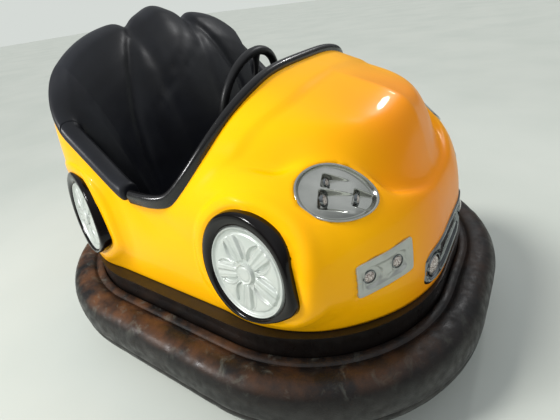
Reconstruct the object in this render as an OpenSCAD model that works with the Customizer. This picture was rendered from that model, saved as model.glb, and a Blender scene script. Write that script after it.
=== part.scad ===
/* [Rubber ring] */
// Length over the rubber ring
ring_len = 1400; // [1300:10:1600]
// Width over the rubber ring
ring_wid = 1150; // [1080:10:1300]
// Corner radius of the ring seen from above
ring_r = 500; // [460:5:520]
// Width of the rubber section
tyre_w = 108; // [98:2:120]
// Height of the rubber section
tyre_h = 150; // [120:2:160]
// Radius of the shoulders of the rubber section
shoulder_r = 44; // [30:2:50]
// Height of the underside of the rubber above the floor
clear_z = 72; // [60:1:90]

/* [Frame] */
// Thickness of the floor plate
plate_t = 6; // [4:1:10]
// Thickness of the steel band behind the rubber
band_t = 6; // [4:1:8]
// Height of the body's lower edge above the floor
body_z = 272; // [262:1:290]

/* [Body shell] */
// Width of the steel ledge that shows ahead of the body
ledge_front = 6; // [4:1:16]
// Width of the ledge behind the body
ledge_rear = 28; // [16:1:36]
// Width of the ledge beside the body
ledge_side = 32; // [20:1:40]
// Front corner radius of the lower edge
low_rf = 379; // [350:1:390]
// Rear corner radius of the lower edge
low_rb = 300; // [270:1:330]
// Length of the body ahead of the cockpit opening
nose_len = 406; // [396:2:420]
// Length of the body behind the opening
tail_len = 228; // [218:2:238]
// Distance of the opening's sides inside the lower edge
open_in = 17; // [10:1:24]
// Front corner radius of the opening
open_rf = 228; // [200:2:250]
// Rear corner radius of the opening
open_rb = 75; // [60:1:100]
// Height of the sill
sill_z = 503; // [495:1:515]
// Height of the cowl above the sill
cowl_rise = 264; // [240:2:280]
// Height that the tail gains along the pads
pad_rise = 240; // [220:2:260]
// Height of the centre lobe above the tail corners
lobe_rise = 150; // [130:5:170]
// Height of the lobe's peak
peak_rise = 27; // [10:1:36]
// Depth of the notch between two lobes
notch_d = 20; // [10:1:40]
// Distance of the bonnet's tip behind the body's nose
bonnet_tip = 61; // [50:1:80]
// Distance of the bonnet's sides inside the body's sides
bonnet_side = 90; // [80:2:105]
// Depth of the valley round the bonnet
valley_d = 22; // [8:1:26]
// Height of the wings outside the valley
wing_d = 18; // [6:1:22]
// Distance of the notches from the centre line
notch_y = 111; // [95:1:125]
// Fullness of the sides ahead of the front mock wheels
flare = 52; // [0:2:56]
// Wall thickness of the shell
wall = 7; // [5:1:9]

/* [Wheels] */
// Radius of the drive wheel
drive_r = 100; // [90:2:110]
// Width of the drive wheel
drive_w = 56; // [44:2:64]
// Distance of the steering pivot behind the ring's front end
drive_in = 370; // [360:2:390]
// Radius of the rear wheels
rear_r = 75; // [70:1:85]
// Width of the rear wheels
rear_w = 46; // [36:2:54]
// Distance of the rear axle ahead of the ring's rear end
rear_in = 300; // [294:2:312]
// Distance of the rear wheels inside the ring's side
rear_side = 305; // [300:2:320]

/* [Steering] */
// Centre of the steering wheel ahead of the centre
hand_x = 2; // [-8:1:12]
// Centre of the steering wheel above the floor
hand_z = 673; // [664:1:684]
// Radius of the steering wheel's rim centre line
hand_r = 128; // [120:1:140]
// Thickness of the rim
hand_t = 24; // [18:1:28]
// Slope of the steering shaft below level
rake = 18; // [15:1:22]
// Start of the fixed column tube below the wheel's centre
tube_s = 130; // [100:5:160]
// Legs of the steering gantry from the centre line
gantry_y = 178; // [174:1:200]
// Heel of the accelerator pedal ahead of the centre
pedal_x = 190; // [170:5:210]
// Accelerator pedal from the centre line
pedal_y = 265; // [250:5:290]
// Width of the accelerator pedal
pedal_w = 80; // [60:5:100]
// Length of the accelerator pedal
pedal_len = 120; // [100:5:140]

/* [Seat] */
// Height of the seat cushion's top
seat_z = 420; // [400:5:440]
// Thickness of the seat cushion
cushion_t = 110; // [90:5:130]
// Thickness of the backrest
back_t = 62; // [50:2:70]
// Height of the backrest above the shell's edge
back_over = 12; // [4:1:20]
// Half width of the seat box
base_half = 350; // [320:5:360]

/* [Mock wheels] */
// Radius of the moulded tyre
mock_r = 138; // [130:1:144]
// Radius of the silver rim
rim_r = 103; // [96:1:108]
// Height of the front mock wheels' centres
mock_z = 436; // [426:1:442]
// Height of the front mock wheels above the rear ones
mock_drop = 6; // [0:1:10]
// Front mock wheels ahead of the start of the front corners
mock_front = 59; // [50:1:66]
// Rear mock wheels behind the start of the rear corners
mock_rear = 67; // [60:1:76]
// Stand of the front mock wheels' centres outside the lower edge
mock_out = 12; // [9:1:16]
// Turn of the front mock wheels away from the nose
mock_yaw = 6.5; // [4:0.5:7]
// Inward lean of the front mock wheels
mock_lean = 9.5; // [8:0.5:11]
// Stand of the rear mock wheels' centres outside the lower edge
tail_out = 9; // [8:1:14]
// Inward lean of the rear mock wheels
tail_lean = 7; // [6:0.5:8]
// Turn of the rear mock wheels towards the tail
tail_yaw = 9; // [7:1:11]

/* [Lamps] */
// Headlamp pods behind the body's nose
head_in = 172; // [164:2:182]
// Headlamp pods inside the body's side
head_side = 130; // [124:1:138]
// Half length of a headlamp pod
head_a = 85; // [76:1:90]
// Half height of a headlamp pod
head_b = 58; // [46:1:60]
// Turn of a headlamp pod on the skin
head_turn = 26; // [16:2:36]
// Fog lamp plates behind the body's nose
fog_in = 98; // [90:2:106]
// Fog lamp plates inside the body's side
fog_side = 163; // [155:2:171]
// Height of the fog lamp plates above the floor
fog_z = 416; // [406:2:424]
// Half width of a fog lamp plate
fog_a = 72; // [60:2:76]
// Half height of a fog lamp plate
fog_b = 39; // [30:1:44]
// Height of the front strip's centre
strip_height = 337; // [332:1:345]
// Half width of the front strip
strip_a = 185; // [160:5:190]
// Half height of the front strip
strip_b = 46; // [34:2:48]
// Tail lamps inside the body's side
tail_side = 135; // [125:5:155]
// Height of the tail lamps above the floor
tail_z = 450; // [430:5:470]
// Radius of a tail lamp
tail_r = 44; // [36:2:50]

/* [Hidden] */
fit = 0.3;
lift = 1.2;
run = 0.05;
plate_z = clear_z + 2;
plate_top = plate_z + plate_t;
in_len = ring_len / 2 - tyre_w;
in_half = ring_wid / 2 - tyre_w;
in_r = ring_r - tyre_w;
flange_w = max(ledge_front, ledge_rear, ledge_side) + wall + 11;
low_front = in_len - ledge_front;
low_rear = in_len - ledge_rear;
low_half = in_half - ledge_side;
open_half = low_half - open_in;
open_front = low_front - nose_len;
open_rear = low_rear - tail_len;
bonnet_x = open_front - 30;
bonnet_a = low_front - bonnet_tip - bonnet_x;
bonnet_b = low_half - bonnet_side;
drive_x = ring_len / 2 - drive_in;
rear_x = ring_len / 2 - rear_in;
rear_y = ring_wid / 2 - rear_side;
head_x = low_front - head_in;
head_y = low_half - head_side;
fog_x = low_front - fog_in;
fog_y = low_half - fog_side;
tail_y = low_half - tail_side;
front_x = low_front - low_rf + mock_front;
back_x = low_rb - low_rear - mock_rear;
// Pull outwards and rise of the section's inner control points at the front, the side and the rear
low_pull = [-13, 22, 14];
low_lift = [325, 142, 216];
top_pull = [310, -20, 102];
top_lift = [-118, -54, -72];
corner_pull = 50;
corner_lift = 12;
web_len = in_len - band_t;
web_half = in_half - band_t;
web_r = in_r - band_t;
race_r = drive_r + 34;
race_t = 20;
turn_z = plate_top + race_t + fit;
turn_t = 12;
shaft_r = 14;
joint_x = drive_x;
joint_z = hand_z - (joint_x - hand_x) * tan(rake);
yellow = "#FFB400";
vinyl = "#202226";
silver = "#C9CFCB";

// Plan outlines
// Places u along an outline's left half: front centre, front corner, side, rear corner, rear centre
nose_u = 0.3;
side_u = 2;
tail_u = 3;
back_u = 4.4;
last_u = 5;
// Share of a stretch that u has covered
function share(u, from, to) = min(1, max(0, (u - from) / (to - from)));
// Direction that the outline faces at u
function facing(u) = 90 * (share(u, nose_u, side_u) + share(u, tail_u, back_u));
function plan(u, f, b, w, rf, rb) = let(a = facing(u))
    u < side_u ? [f - rf + rf * cos(a), share(u, 0, nose_u) * (w - rf) + rf * sin(a)] :
    u < tail_u ? [f - rf - share(u, side_u, tail_u) * (f - rf + b - rb), w] :
    [rb - b + rb * cos(a), share(last_u - u, 0, last_u - back_u) * (w - rb) + rb * sin(a)];
function unit(v) = v / norm(v);
function bump(d, s) = exp(-pow(d / s, 2));

// Height of the opening's edge at a place in plan
function rim_height(x, y) = let(k = abs(y) / open_half)
    sill_z + (x > 0 ? cowl_rise * (1 - pow(min(k, 1), 3.9)) :
        pad_rise * min(1, max(0, (-90 - x) / (open_rear - 90)))
        + (lobe_rise * (1 - pow(min(k, 1), 3.5)) + peak_rise * bump(y, 60) - notch_d * bump(abs(y) - notch_y, 22))
          * min(1, max(0, (-x - 150) / 120)));

// Four control points of the shell's section at u, from the lower edge to the opening
function section(u) = let(
    a = facing(u), c = cos(a), s = sin(a),
    f = c > 0 ? c * c : 0, r = c < 0 ? c * c : 0, m = s * s,
    p = plan(u, low_front, low_rear, low_half, low_rf, low_rb),
    q = plan(u, open_front, open_rear, open_half, open_rf, open_rb),
    z = rim_height(q.x, q.y),
    w = [f, m, r], out1 = low_pull * w + 4 * corner_pull * f * m, up1 = low_lift * w + 4 * corner_lift * f * m,
    out2 = top_pull * w, up2 = top_lift * w)
    [[p.x, p.y, body_z], [p.x + c * out1, p.y + s * out1, body_z + up1],
     [q.x + c * out2, q.y + s * out2, z + up2], [q.x, q.y, z]];
function bezier(p, t) = pow(1 - t, 3) * p[0] + 3 * t * pow(1 - t, 2) * p[1]
    + 3 * t * t * (1 - t) * p[2] + pow(t, 3) * p[3];
// Raised bonnet, the valley round it and the wings outside, by the distance from the bonnet's outline
function crown(x, y) = let(
    d = (bonnet_a + bonnet_b) * 0.46 * (sqrt(pow(max(0, x - bonnet_x) / bonnet_a, 2) + pow(abs(y) / bonnet_b, 2.6)) - 1))
    (15 * bump(d + 85, 55) - valley_d * bump(d, 46) + wing_d * bump(d - 75, 50) * bump(x - 300, 140))
        * min(1, max(0, (x - 60) / 120))
    + 16 * bump(y, 120) * bump(x - 330, 150);
// Outer surface of the shell, u below 0 on the right
function skin(u, t) = let(
    v = u > 5 ? u - 10 : u < -5 ? u + 10 : u,
    p = bezier(section(abs(v)), t), y = p.y + flare * bump(p.x - front_x - 118, 80) * bump(p.z - mock_z + 26, 100))
    [p.x, v < 0 ? -y : y, p.z + crown(p.x, p.y) * sin(180 * t)];
function skin_face(u, t) = let(d = 0.01)
    unit(cross(skin(u + d, t) - skin(u - d, t), skin(u, min(1, t + d)) - skin(u, max(0, t - d))));
function off_skin(u, t, h) = skin(u, t) + h * skin_face(u, t);

// Frame on the skin: origin, level axis, rising axis, outward axis
function seat_frame(u, t) = let(n = skin_face(u, t), e = unit(cross([0, 0, 1], n)))
    [skin(u, t), e, cross(n, e), n];
function step(limit, v) = max(-limit, min(limit, v));
// Place on the skin that lies under the point (a, b) of a frame, by Newton's rule
function under(fr, a, b, u, t, steps = 7) = steps == 0 ? [u, t] : let(
    d = 0.004, p = skin(u, t), pu = (skin(u + d, t) - p) / d, pt = (skin(u, t + d) - p) / d,
    r = [a - (p - fr[0]) * fr[1], b - (p - fr[0]) * fr[2]],
    m = [pu * fr[1], pt * fr[1], pu * fr[2], pt * fr[2]], k = m[0] * m[3] - m[1] * m[2])
    under(fr, a, b, u + step(0.4, (r[0] * m[3] - r[1] * m[1]) / k),
        min(0.98, max(0.004, t + step(0.2, (r[1] * m[0] - r[0] * m[2]) / k))), steps - 1);
function on_skin(fr, a, b, u, t, h) = let(w = under(fr, a, b, u, t)) off_skin(w[0], w[1], h);

// Grid solids
// Two triangles of the cell between points j and j + 1 of rows i and k: the second half of a row
// is cut the other way, so that the two faces of a thin wall bend alike
function cell(i, k, j, m) = let(a = i * m + j, b = k * m + j, c = k * m + (j + 1) % m, d = i * m + (j + 1) % m)
    j < m / 2 ? [[a, b, c], [a, c, d]] : [[a, b, d], [b, c, d]];
// Closed ring of closed sections
module ring_mesh(rows) {
    n = len(rows);
    m = len(rows[0]);
    polyhedron([for (r = rows) each r],
        [for (i = [0:n - 1], j = [0:m - 1]) each cell(i, (i + 1) % n, j, m)]);
}
// Open run of closed sections with flat ends
module run_mesh(rows) {
    n = len(rows);
    m = len(rows[0]);
    polyhedron([for (r = rows) each r], concat(
        [for (i = [0:n - 2], j = [0:m - 1]) each cell(i, i + 1, j, m)],
        [[for (j = [0:m - 1]) j]], [[for (j = [m - 1:-1:0]) (n - 1) * m + j]]));
}
// Disc of rings around a centre, for a patch whose rings run outwards on top and back below
module disc_mesh(rings, top, bottom) {
    n = len(rings);
    m = len(rings[0]);
    polyhedron(concat([for (r = rings) each r], [top, bottom]), concat(
        [for (i = [0:n - 2], j = [0:m - 1], f = cell(i, i + 1, j, m)) [f[2], f[1], f[0]]],
        [for (j = [0:m - 1]) [n * m, (j + 1) % m, j]],
        [for (j = [0:m - 1]) [n * m + 1, (n - 1) * m + j, (n - 1) * m + (j + 1) % m]]));
}
module both(side) {
    if (side > 0) children();
    else mirror([0, 1, 0]) children();
}

// Section swept round a rounded rectangle
module around(hl, hw, r) {
    for (sx = [0, 1], sy = [0, 1])
        mirror([sx, 0, 0]) mirror([0, sy, 0]) translate([hl - r, hw - r, 0])
            rotate_extrude(angle = 90, $fn = 96) translate([r, 0]) children();
    for (s = [0, 180])
        rotate(s) translate([hl, hw - r, 0]) rotate([90, 0, 0]) linear_extrude(2 * (hw - r)) children();
    for (s = [90, 270])
        rotate(s) translate([hw, hl - r, 0]) rotate([90, 0, 0]) linear_extrude(2 * (hl - r)) children();
}
module plan_area(hl, hw, r) {
    for (sx = [-1, 1], sy = [-1, 1]) translate([sx * (hl - r), sy * (hw - r)]) circle(r, $fn = 96);
    square([2 * hl, 2 * (hw - r)], center = true);
    square([2 * (hl - r), 2 * hw], center = true);
}

module floor_plate() color("#3A3D40") translate([0, 0, plate_z]) difference() {
    linear_extrude(plate_t) plan_area(web_len - fit, web_half - fit, web_r - fit);
    translate([drive_x, 0, -1]) cylinder(r = race_r - 12, h = plate_t + 2, $fn = 96);
    for (s = [-1, 1]) translate([-rear_x, s * rear_y, plate_t / 2])
        cube([2 * rear_r + 16, rear_w + 26, plate_t + 2], center = true);
}

module ring_band() color("#26221F") around(in_len, in_half, in_r)
    polygon([[-band_t, clear_z - 5], [44, clear_z - 5], [44, clear_z - fit], [0, clear_z - fit],
        [0, body_z - fit], [-flange_w, body_z - fit], [-flange_w, body_z - fit - band_t],
        [-band_t, body_z - fit - band_t]]);

shoulder = [for (a = [0:15:90]) shoulder_r * [sin(a), cos(a)]];
module rubber_ring() color("#2B2622") around(in_len + fit, in_half + fit, in_r + fit)
    polygon(concat([[0, clear_z], [0, clear_z + tyre_h]],
        [for (p = shoulder) [tyre_w - fit - shoulder_r + p.x, clear_z + tyre_h - shoulder_r + p.y]],
        [for (i = [len(shoulder) - 1:-1:0])
            [tyre_w - fit - shoulder_r + shoulder[i].x, clear_z + shoulder_r - shoulder[i].y]]));

// Stations round the shell: points in each stretch of the outline
marks = [[0, 3], [nose_u, 10], [side_u, 6], [tail_u, 8], [back_u, 5]];
half_run = [for (i = [0:4], j = [0:marks[i][1] - 1])
    marks[i][0] + ((i < 4 ? marks[i + 1][0] : last_u) - marks[i][0]) * j / marks[i][1]];
stations = concat(half_run, [last_u], [for (i = [len(half_run) - 1:-1:1]) -half_run[i]]);
levels = 14;

module body_shell() color(yellow) ring_mesh([for (u = stations) concat(
    [for (i = [0:levels]) skin(u, i / levels)],
    [for (i = [levels:-1:0]) off_skin(u, i / levels, -wall)])]);

// Patches that lie on the skin, drawn on the left side
// Raised ring between two radii
module skin_ring(u, t, profile, count) {
    fr = seat_frame(u, t);
    ring_mesh([for (i = [0:count - 1]) let(g = 360 * i / count)
        [for (q = profile) on_skin(fr, q.x * cos(g), q.x * sin(g), u, t, q.y)]]);
}
// Raised shape whose outline is a list of points, with heights at fractions of the outline
module skin_patch(u, t, outline, profile, lift = lift) {
    fr = seat_frame(u, t);
    low = [[1, lift], [0.66, lift], [0.33, lift]];
    disc_mesh([for (q = concat(profile, low)) [for (g = outline) on_skin(fr, q[0] * g.x, q[0] * g.y, u, t, q[1])]],
        on_skin(fr, 0, 0, u, t, profile[0][1]), on_skin(fr, 0, 0, u, t, lift));
}
// The same with a rule for the height at a place and at a share of the outline
module skin_relief(u, t, outline, shares, height) {
    fr = seat_frame(u, t);
    disc_mesh(concat(
        [for (q = shares) [for (g = outline) on_skin(fr, q * g.x, q * g.y, u, t, height(q * g, q))]],
        [for (q = [1, 0.66, 0.33]) [for (g = outline) on_skin(fr, q * g.x, q * g.y, u, t, 2.4 * lift)]]),
        on_skin(fr, 0, 0, u, t, height([0, 0], 0)), on_skin(fr, 0, 0, u, t, 2.4 * lift));
}
function egg(a, b, taper, turn, count) = [for (i = [0:count - 1]) let(g = 360 * i / count,
    x = a * cos(g), y = (b + taper * cos(g)) * sin(g))
    [x * cos(turn) - y * sin(turn), x * sin(turn) + y * cos(turn)]];
function soft_box(a, b, power, slant, count) = [for (i = [0:count - 1]) let(g = 360 * i / count,
    x = a * sign(cos(g)) * pow(abs(cos(g)), 2 / power), y = b * sign(sin(g)) * pow(abs(sin(g)), 2 / power))
    [x, y + slant * x]];
// Places on the skin: seen from the side at x and z, or from above at x and y
function by_side(x, z, u, t) = under([[x, 0, z], [1, 0, 0], [0, 0, 1]], 0, 0, u, t, 6);
function by_top(x, y, u, t) = under([[x, y, 0], [1, 0, 0], [0, 1, 0]], 0, 0, u, t, 6);

// Flat frames of the mock wheels: centre, level axis, rising axis, outward axis
function wheel_frame(x, y, z, lean, yaw) = let(e = [-cos(yaw), -sin(yaw), 0],
    k = [sin(yaw) * sin(lean), -cos(yaw) * sin(lean), cos(lean)]) [[x, y, z], e, k, cross(e, k)];
front_wheel = wheel_frame(front_x, low_half + mock_out, mock_z, mock_lean, mock_yaw);
back_wheel = wheel_frame(back_x, low_half + tail_out, mock_z - mock_drop, tail_lean, tail_yaw);
front_at = by_side(front_x, mock_z, 1.6, 0.38);
rear_at = by_side(back_x, mock_z - mock_drop, 3.25, 0.34);
count = 30;
function flat(fr, r, g, h) = fr[0] + r * cos(g) * fr[1] + r * sin(g) * fr[2] + h * fr[3];
function foot(fr, at, r, g, h = lift) = on_skin(fr, r * cos(g), r * sin(g), at[0], at[1], h);
// Outline of a moulded tyre, flat at its front and below with one full corner: angle, share of the radius
tyre_line = [[0, 0.95], [45, 0.985], [90, 0.985], [130, 0.93], [160, 0.87], [180, 0.88], [196, 0.94], [210, 0.885],
    [232, 0.82], [258, 0.81], [291, 0.9], [322, 0.93], [360, 0.95]];
module mock_tyre(fr, at) color("#0E0E10") ring_mesh([for (i = [0:count - 1])
    let(g = 360 / count * i, r = mock_r * lookup(g, tyre_line), r0 = rim_r + fit, w = r - r0)
    [foot(fr, at, r0, g), flat(fr, r0, g, -3), flat(fr, r0 + 0.18 * w, g, 4),
     flat(fr, r0 + 0.5 * w, g, 7), flat(fr, r0 + 0.85 * w, g, 4), flat(fr, r, g, -4),
     foot(fr, at, r + 2, g)]]);
// Five pairs of petals between the hub and the stepped lip: share of the radius, and heights round a fifth
spokes = [[0.1, [4]], [0.19, [5]], [0.24, [-1]], [0.42, [1, 4, -4, -6, -4, 4]], [0.66, [1, 5, -3, -6, -3, 5]],
    [0.8, [-1, 0, -4, -5, -4, 0]], [0.86, [-3]], [0.9, [2]], [0.96, [3]], [1, [-2]]];
module mock_rim(fr, at) color(silver) disc_mesh(concat(
    [for (q = spokes) [for (i = [0:count - 1]) flat(fr, q[0] * rim_r, 360 / count * i, q[1][(i + 4) % len(q[1])])]],
    [for (q = [[1, lift], [0.84, 3.2], [0.5, 4]]) [for (i = [0:count - 1])
        foot(fr, at, q[0] * rim_r, 360 / count * i, q[1])]]),
    flat(fr, 0, 0, 4), foot(fr, at, 0, 0, 4));
module mock_tyre_front_left() mock_tyre(front_wheel, front_at);
module mock_tyre_front_right() mirror([0, 1, 0]) mock_tyre(front_wheel, front_at);
module mock_tyre_rear_left() mock_tyre(back_wheel, rear_at);
module mock_tyre_rear_right() mirror([0, 1, 0]) mock_tyre(back_wheel, rear_at);
module mock_rim_front_left() mock_rim(front_wheel, front_at);
module mock_rim_front_right() mirror([0, 1, 0]) mock_rim(front_wheel, front_at);
module mock_rim_rear_left() mock_rim(back_wheel, rear_at);
module mock_rim_rear_right() mirror([0, 1, 0]) mock_rim(back_wheel, rear_at);

head_at = by_top(head_x, head_y, 0.84, 0.53);
head_frame = seat_frame(head_at[0], head_at[1]);
function in_frame(fr, v) = [v * fr[1], v * fr[2]];
// Three scoops of a pod: places of the lamps and of the scoops' front ends from the pod's centre
scoops = [[[-23, 1, 30], [16, -23, 7]], [[-25, 26, -10], [27, -10, -29]], [[28, -19, -17], [62, -45, -46]]];
scoop_w = 20;
scoop_d = 9;
function scoop(p, s) = let(a = in_frame(head_frame, s[0]), d = in_frame(head_frame, s[1]) - a, n = norm(d),
    k = ((p - a) * d) / n / n, w = abs(d.x * (p.y - a.y) - d.y * (p.x - a.x)) / n / scoop_w)
    k > -0.1 && k < 1.1 && w < 1 ? scoop_d * (1.1 - max(0, k)) * (1 - w * w) : 0;
module headlamp() color("#B9BFC2") skin_relief(head_at[0], head_at[1], egg(head_a, head_b, 8, head_turn, 36),
    [0.14, 0.28, 0.42, 0.56, 0.7, 0.82, 0.9, 0.96, 1],
    function(p, q) q > 0.98 ? 4 : q > 0.94 ? 9 : q > 0.88 ? 6 : 12 - max([for (s = scoops) scoop(p, s)]));
module headlamp_left() headlamp();
module headlamp_right() mirror([0, 1, 0]) headlamp();

fog_at = under([[fog_x, fog_y, fog_z], unit([-1, 1, 0]), [0, 0, 1]], 0, 0, 0.92, 0.21, 6);
module fog_lamp() color("#C4CACC") skin_patch(fog_at[0], fog_at[1], soft_box(fog_a, fog_b, 7, -0.085, 32),
    [[0.3, 6], [0.7, 6], [0.9, 6], [0.97, 8], [1, 4]]);
module fog_lamp_left() fog_lamp();
module fog_lamp_right() mirror([0, 1, 0]) fog_lamp();

strip_at = under([[low_front, 0, strip_height], [0, 1, 0], [0, 0, 1]], 0, 0, 0, 0.3, 6);
module front_strip() color("#8F9698") skin_patch(strip_at[0], strip_at[1],
    soft_box(strip_a, strip_b, 6, 0, 40), [[0.3, 6], [0.7, 6], [0.9, 6], [0.97, 9], [1, 4]]);

tail_at = under([[-low_rear, tail_y, tail_z], [0, 1, 0], [0, 0, 1]], 0, 0, 4.1, 0.4, 6);
module tail_lamp() color("#A51B1B") skin_patch(tail_at[0], tail_at[1], egg(tail_r, tail_r, 0, 0, 24),
    [[0.3, 14], [0.7, 12], [0.9, 8], [1, 4]], 0.5);
module tail_lamp_left() tail_lamp();
module tail_lamp_right() mirror([0, 1, 0]) tail_lamp();

liner_rear = open_rear - 46;
// Inner lining below the opening, open ahead of the feet
function liner(u, k, h) = let(
    q = plan(abs(u), open_front, open_rear, open_half, open_rf, open_rb),
    p = plan(abs(u), open_front + 120, liner_rear, base_half + 30, 120, 120), c = cos(facing(abs(u))), s = sin(facing(abs(u))),
    z = rim_height(q.x, q.y) - 34, top = [q.x - c * 12, q.y - s * 12, z],
    low = [p.x, p.y, plate_top + fit], w = top + (low - top) * k)
    [w.x - c * h, (w.y - s * h) * sign(u), w.z];
liner_run = [for (u = [1.6:0.2:last_u - 0.1]) u];
module cockpit_liner() color(vinyl) run_mesh([for (u = concat(liner_run, [last_u],
    [for (i = [len(liner_run) - 1:-1:0]) -liner_run[i]]))
    [liner(u, 0, 0), liner(u, 0.35, 0), liner(u, 0.7, 0), liner(u, 1, 0),
     liner(u, 1, 5), liner(u, 0.7, 5), liner(u, 0.35, 5), liner(u, 0, 5)]]);

base_top = seat_z - cushion_t - fit;
base_x0 = 58 - liner_rear;
base_x1 = 30;
cushion_x0 = base_x0 + 77;
cushion_x1 = 40;
cushion_half = base_half - 50;
battery_half = base_half - 90;
module seat_base() color("#303338") difference() {
    translate([base_x0, -base_half, plate_top + fit])
        cube([base_x1 - base_x0, 2 * base_half, base_top - plate_top - fit]);
    translate([base_x0 + 6, 6 - base_half, plate_top]) cube([base_x1 - base_x0 - 12, 2 * base_half - 12,
        base_top - plate_top - 6]);
}
module battery() color("#1E4E8C") translate([base_x0 + 20, -battery_half, plate_top + fit])
    cube([base_x1 - base_x0 - 72, 2 * battery_half, base_top - plate_top - 30]);

module seat_cushion() color(vinyl) translate([0, 0, base_top + fit]) hull()
    for (x = [cushion_x0 + 50, cushion_x1 - 50], y = [50 - cushion_half, cushion_half - 50]) {
        translate([x, y, 0]) cylinder(r = 50, h = cushion_t - 30, $fn = 24);
        translate([x, y, cushion_t - 30]) cylinder(r1 = 50, r2 = 26, h = 30, $fn = 24);
    }

// Backrest along the rear of the opening, leaning back from its foot
back_foot = base_top + fit;
function back_point(u, k, h) = let(
    q = plan(abs(u), open_front, open_rear, open_half, open_rf, open_rb),
    p = plan(abs(u), open_front + 20, open_rear - 114, base_half + 22, 110, 120), c = cos(facing(abs(u))), s = sin(facing(abs(u))),
    top = [q.x - c * (wall + 6), q.y - s * (wall + 6), rim_height(q.x, q.y) + back_over],
    w = [p.x, p.y, back_foot] + k * (top - [p.x, p.y, back_foot]))
    [w.x - c * h, (w.y - s * h) * sign(u), w.z];
back_run = [for (i = [0:12]) 3.62 + (last_u - 3.62) * i / 13];
module seat_back() color(vinyl) run_mesh([for (u = concat(back_run, [last_u],
    [for (i = [len(back_run) - 1:-1:0]) -back_run[i]])) concat(
    [for (j = [0:6]) back_point(u, j / 6, 0)],
    [for (j = [6:-1:0]) back_point(u, j / 6, back_t * (j == 6 ? 0.4 : 1))])]);

// Pads over the sides beside the backrest
pad_outline = [[12, -12], [14, 8], [8, 24], [-6, 29], [-24, 27], [-35, 14], [-38, -26], [-21, -26],
    [-12.5, 1.2], [1.6, 1.2], [1.6, -12]];
function pad_row(u) = let(p = skin(u, 1), c = cos(facing(u)), s = sin(facing(u)))
    [for (q = pad_outline) [p.x + c * q.x, p.y + s * q.x, p.z + q.y]];
module side_pad() color(vinyl) run_mesh([for (i = [0:6]) pad_row(2.27 + i * 0.138)]);
module side_pad_left() side_pad();
module side_pad_right() mirror([0, 1, 0]) side_pad();

// Rubber edge over the front of the opening
trim_r = 11;
function trim_row(u) = let(p = skin(u, 1), n = skin_face(u, 1), a = unit(skin(u + 0.01, 1) - skin(u - 0.01, 1)),
    up = unit(cross(a, cross([0, 0, 1], a))), side = cross(a, up), c = p + up * (trim_r + lift + max(0, -wall * (n * up))))
    [for (g = [0:45:315]) c + trim_r * (up * cos(g) + side * sin(g))];
trim_run = concat([for (u = half_run) if (u < 2.2) u], [2.24]);
module cockpit_trim() color("#17181A") run_mesh(concat(
    [for (i = [len(trim_run) - 1:-1:1]) trim_row(-trim_run[i])], [for (u = trim_run) trim_row(u)]));

// Steering
axis = [cos(rake), 0, -sin(rake)];
function on_axis(s) = [hand_x, 0, hand_z] + s * axis;
module along_axis(s) translate(on_axis(s)) rotate([0, 90 + rake, 0]) children();
bearing_s = 170;
module steering_wheel() color("#141517") {
    along_axis(0) rotate_extrude($fn = 64) translate([hand_r, 0]) circle(d = hand_t, $fn = 24);
    along_axis(-6) cylinder(r = 34, h = 30, $fn = 48);
    for (a = [0, 120, 240]) along_axis(8) rotate([0, 0, a + 180]) translate([24, -14, -5])
        cube([hand_r - 30, 28, 10]);
}
shaft_len = (joint_x - hand_x) / cos(rake);
box_half = 38;
module steering_shaft() color("#8C9196")
    along_axis(24.3) cylinder(r = shaft_r, h = shaft_len - 24.3 - 16, $fn = 32);
// Fixed tube round the shaft
module column_tube() color("#2E3236") difference() {
    along_axis(tube_s) cylinder(r = shaft_r + 7, h = shaft_len - tube_s - box_half - fit, $fn = 48);
    along_axis(tube_s - 1) cylinder(r = shaft_r + run, h = shaft_len, $fn = 48);
}
// Closed gear housing that turns the shaft's motion down to the spindle
module steering_box() color("#3A3D40") difference() {
    along_axis(shaft_len - box_half) cylinder(r = box_half, h = 2 * box_half, $fn = 64);
    along_axis(shaft_len - box_half - 1) cylinder(r = shaft_r + run, h = box_half - 9, $fn = 48);
    translate([joint_x, 0, joint_z - 2 * box_half]) cylinder(r = shaft_r + run, h = 2 * box_half - 12, $fn = 48);
}
module steering_gantry() color("#2E3236") {
    for (s = [-1, 1]) {
        translate([joint_x - 15, s * gantry_y - 15, plate_top + fit + 6]) cube([30, 30, joint_z - plate_top - 6 - fit]);
        translate([joint_x - 35, s * gantry_y - 28, plate_top + fit]) cube([70, 56, 6]);
        translate([joint_x - 15, s > 0 ? box_half + fit : 15 - gantry_y, joint_z - 15])
            cube([30, gantry_y - 15 - box_half - fit, 30]);
    }
}
module accelerator_pedal() color("#3C4043") translate([pedal_x, -pedal_y - pedal_w / 2, plate_top]) {
    translate([0, 0, fit]) cube([pedal_len / 2, pedal_w, 8]);
    translate([5, 0, 6]) rotate([0, -40, 0]) cube([pedal_len, pedal_w, 8]);
}

module swivel_race() color("#70757A") translate([drive_x, 0, plate_top + fit]) difference() {
    cylinder(r = race_r + 16, h = race_t - fit, $fn = 96);
    translate([0, 0, -1]) cylinder(r = race_r - 12, h = race_t + 2, $fn = 96);
}
arm_y = drive_w / 2 + 8;
motor_z = 2 * drive_r + 20;
module drive_yoke() color("#4A4F54") translate([drive_x, 0, 0]) {
    difference() {
        translate([0, 0, turn_z]) cylinder(r = race_r + 8, h = turn_t, $fn = 96);
        translate([-drive_r - 12, -arm_y, turn_z - 1]) cube([2 * drive_r + 24, 2 * arm_y, turn_t + 2]);
    }
    for (s = [-1, 1]) translate([-40, s * (arm_y + 4) - 4, drive_r - 18]) cube([80, 8, motor_z - drive_r + 18]);
    translate([-40, -arm_y - 8, motor_z - 8]) cube([80, 2 * arm_y + 16, 8]);
    translate([0, 0, drive_r]) rotate([90, 0, 0]) cylinder(r = 10, h = 2 * arm_y + 2, center = true, $fn = 48);
}
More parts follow.
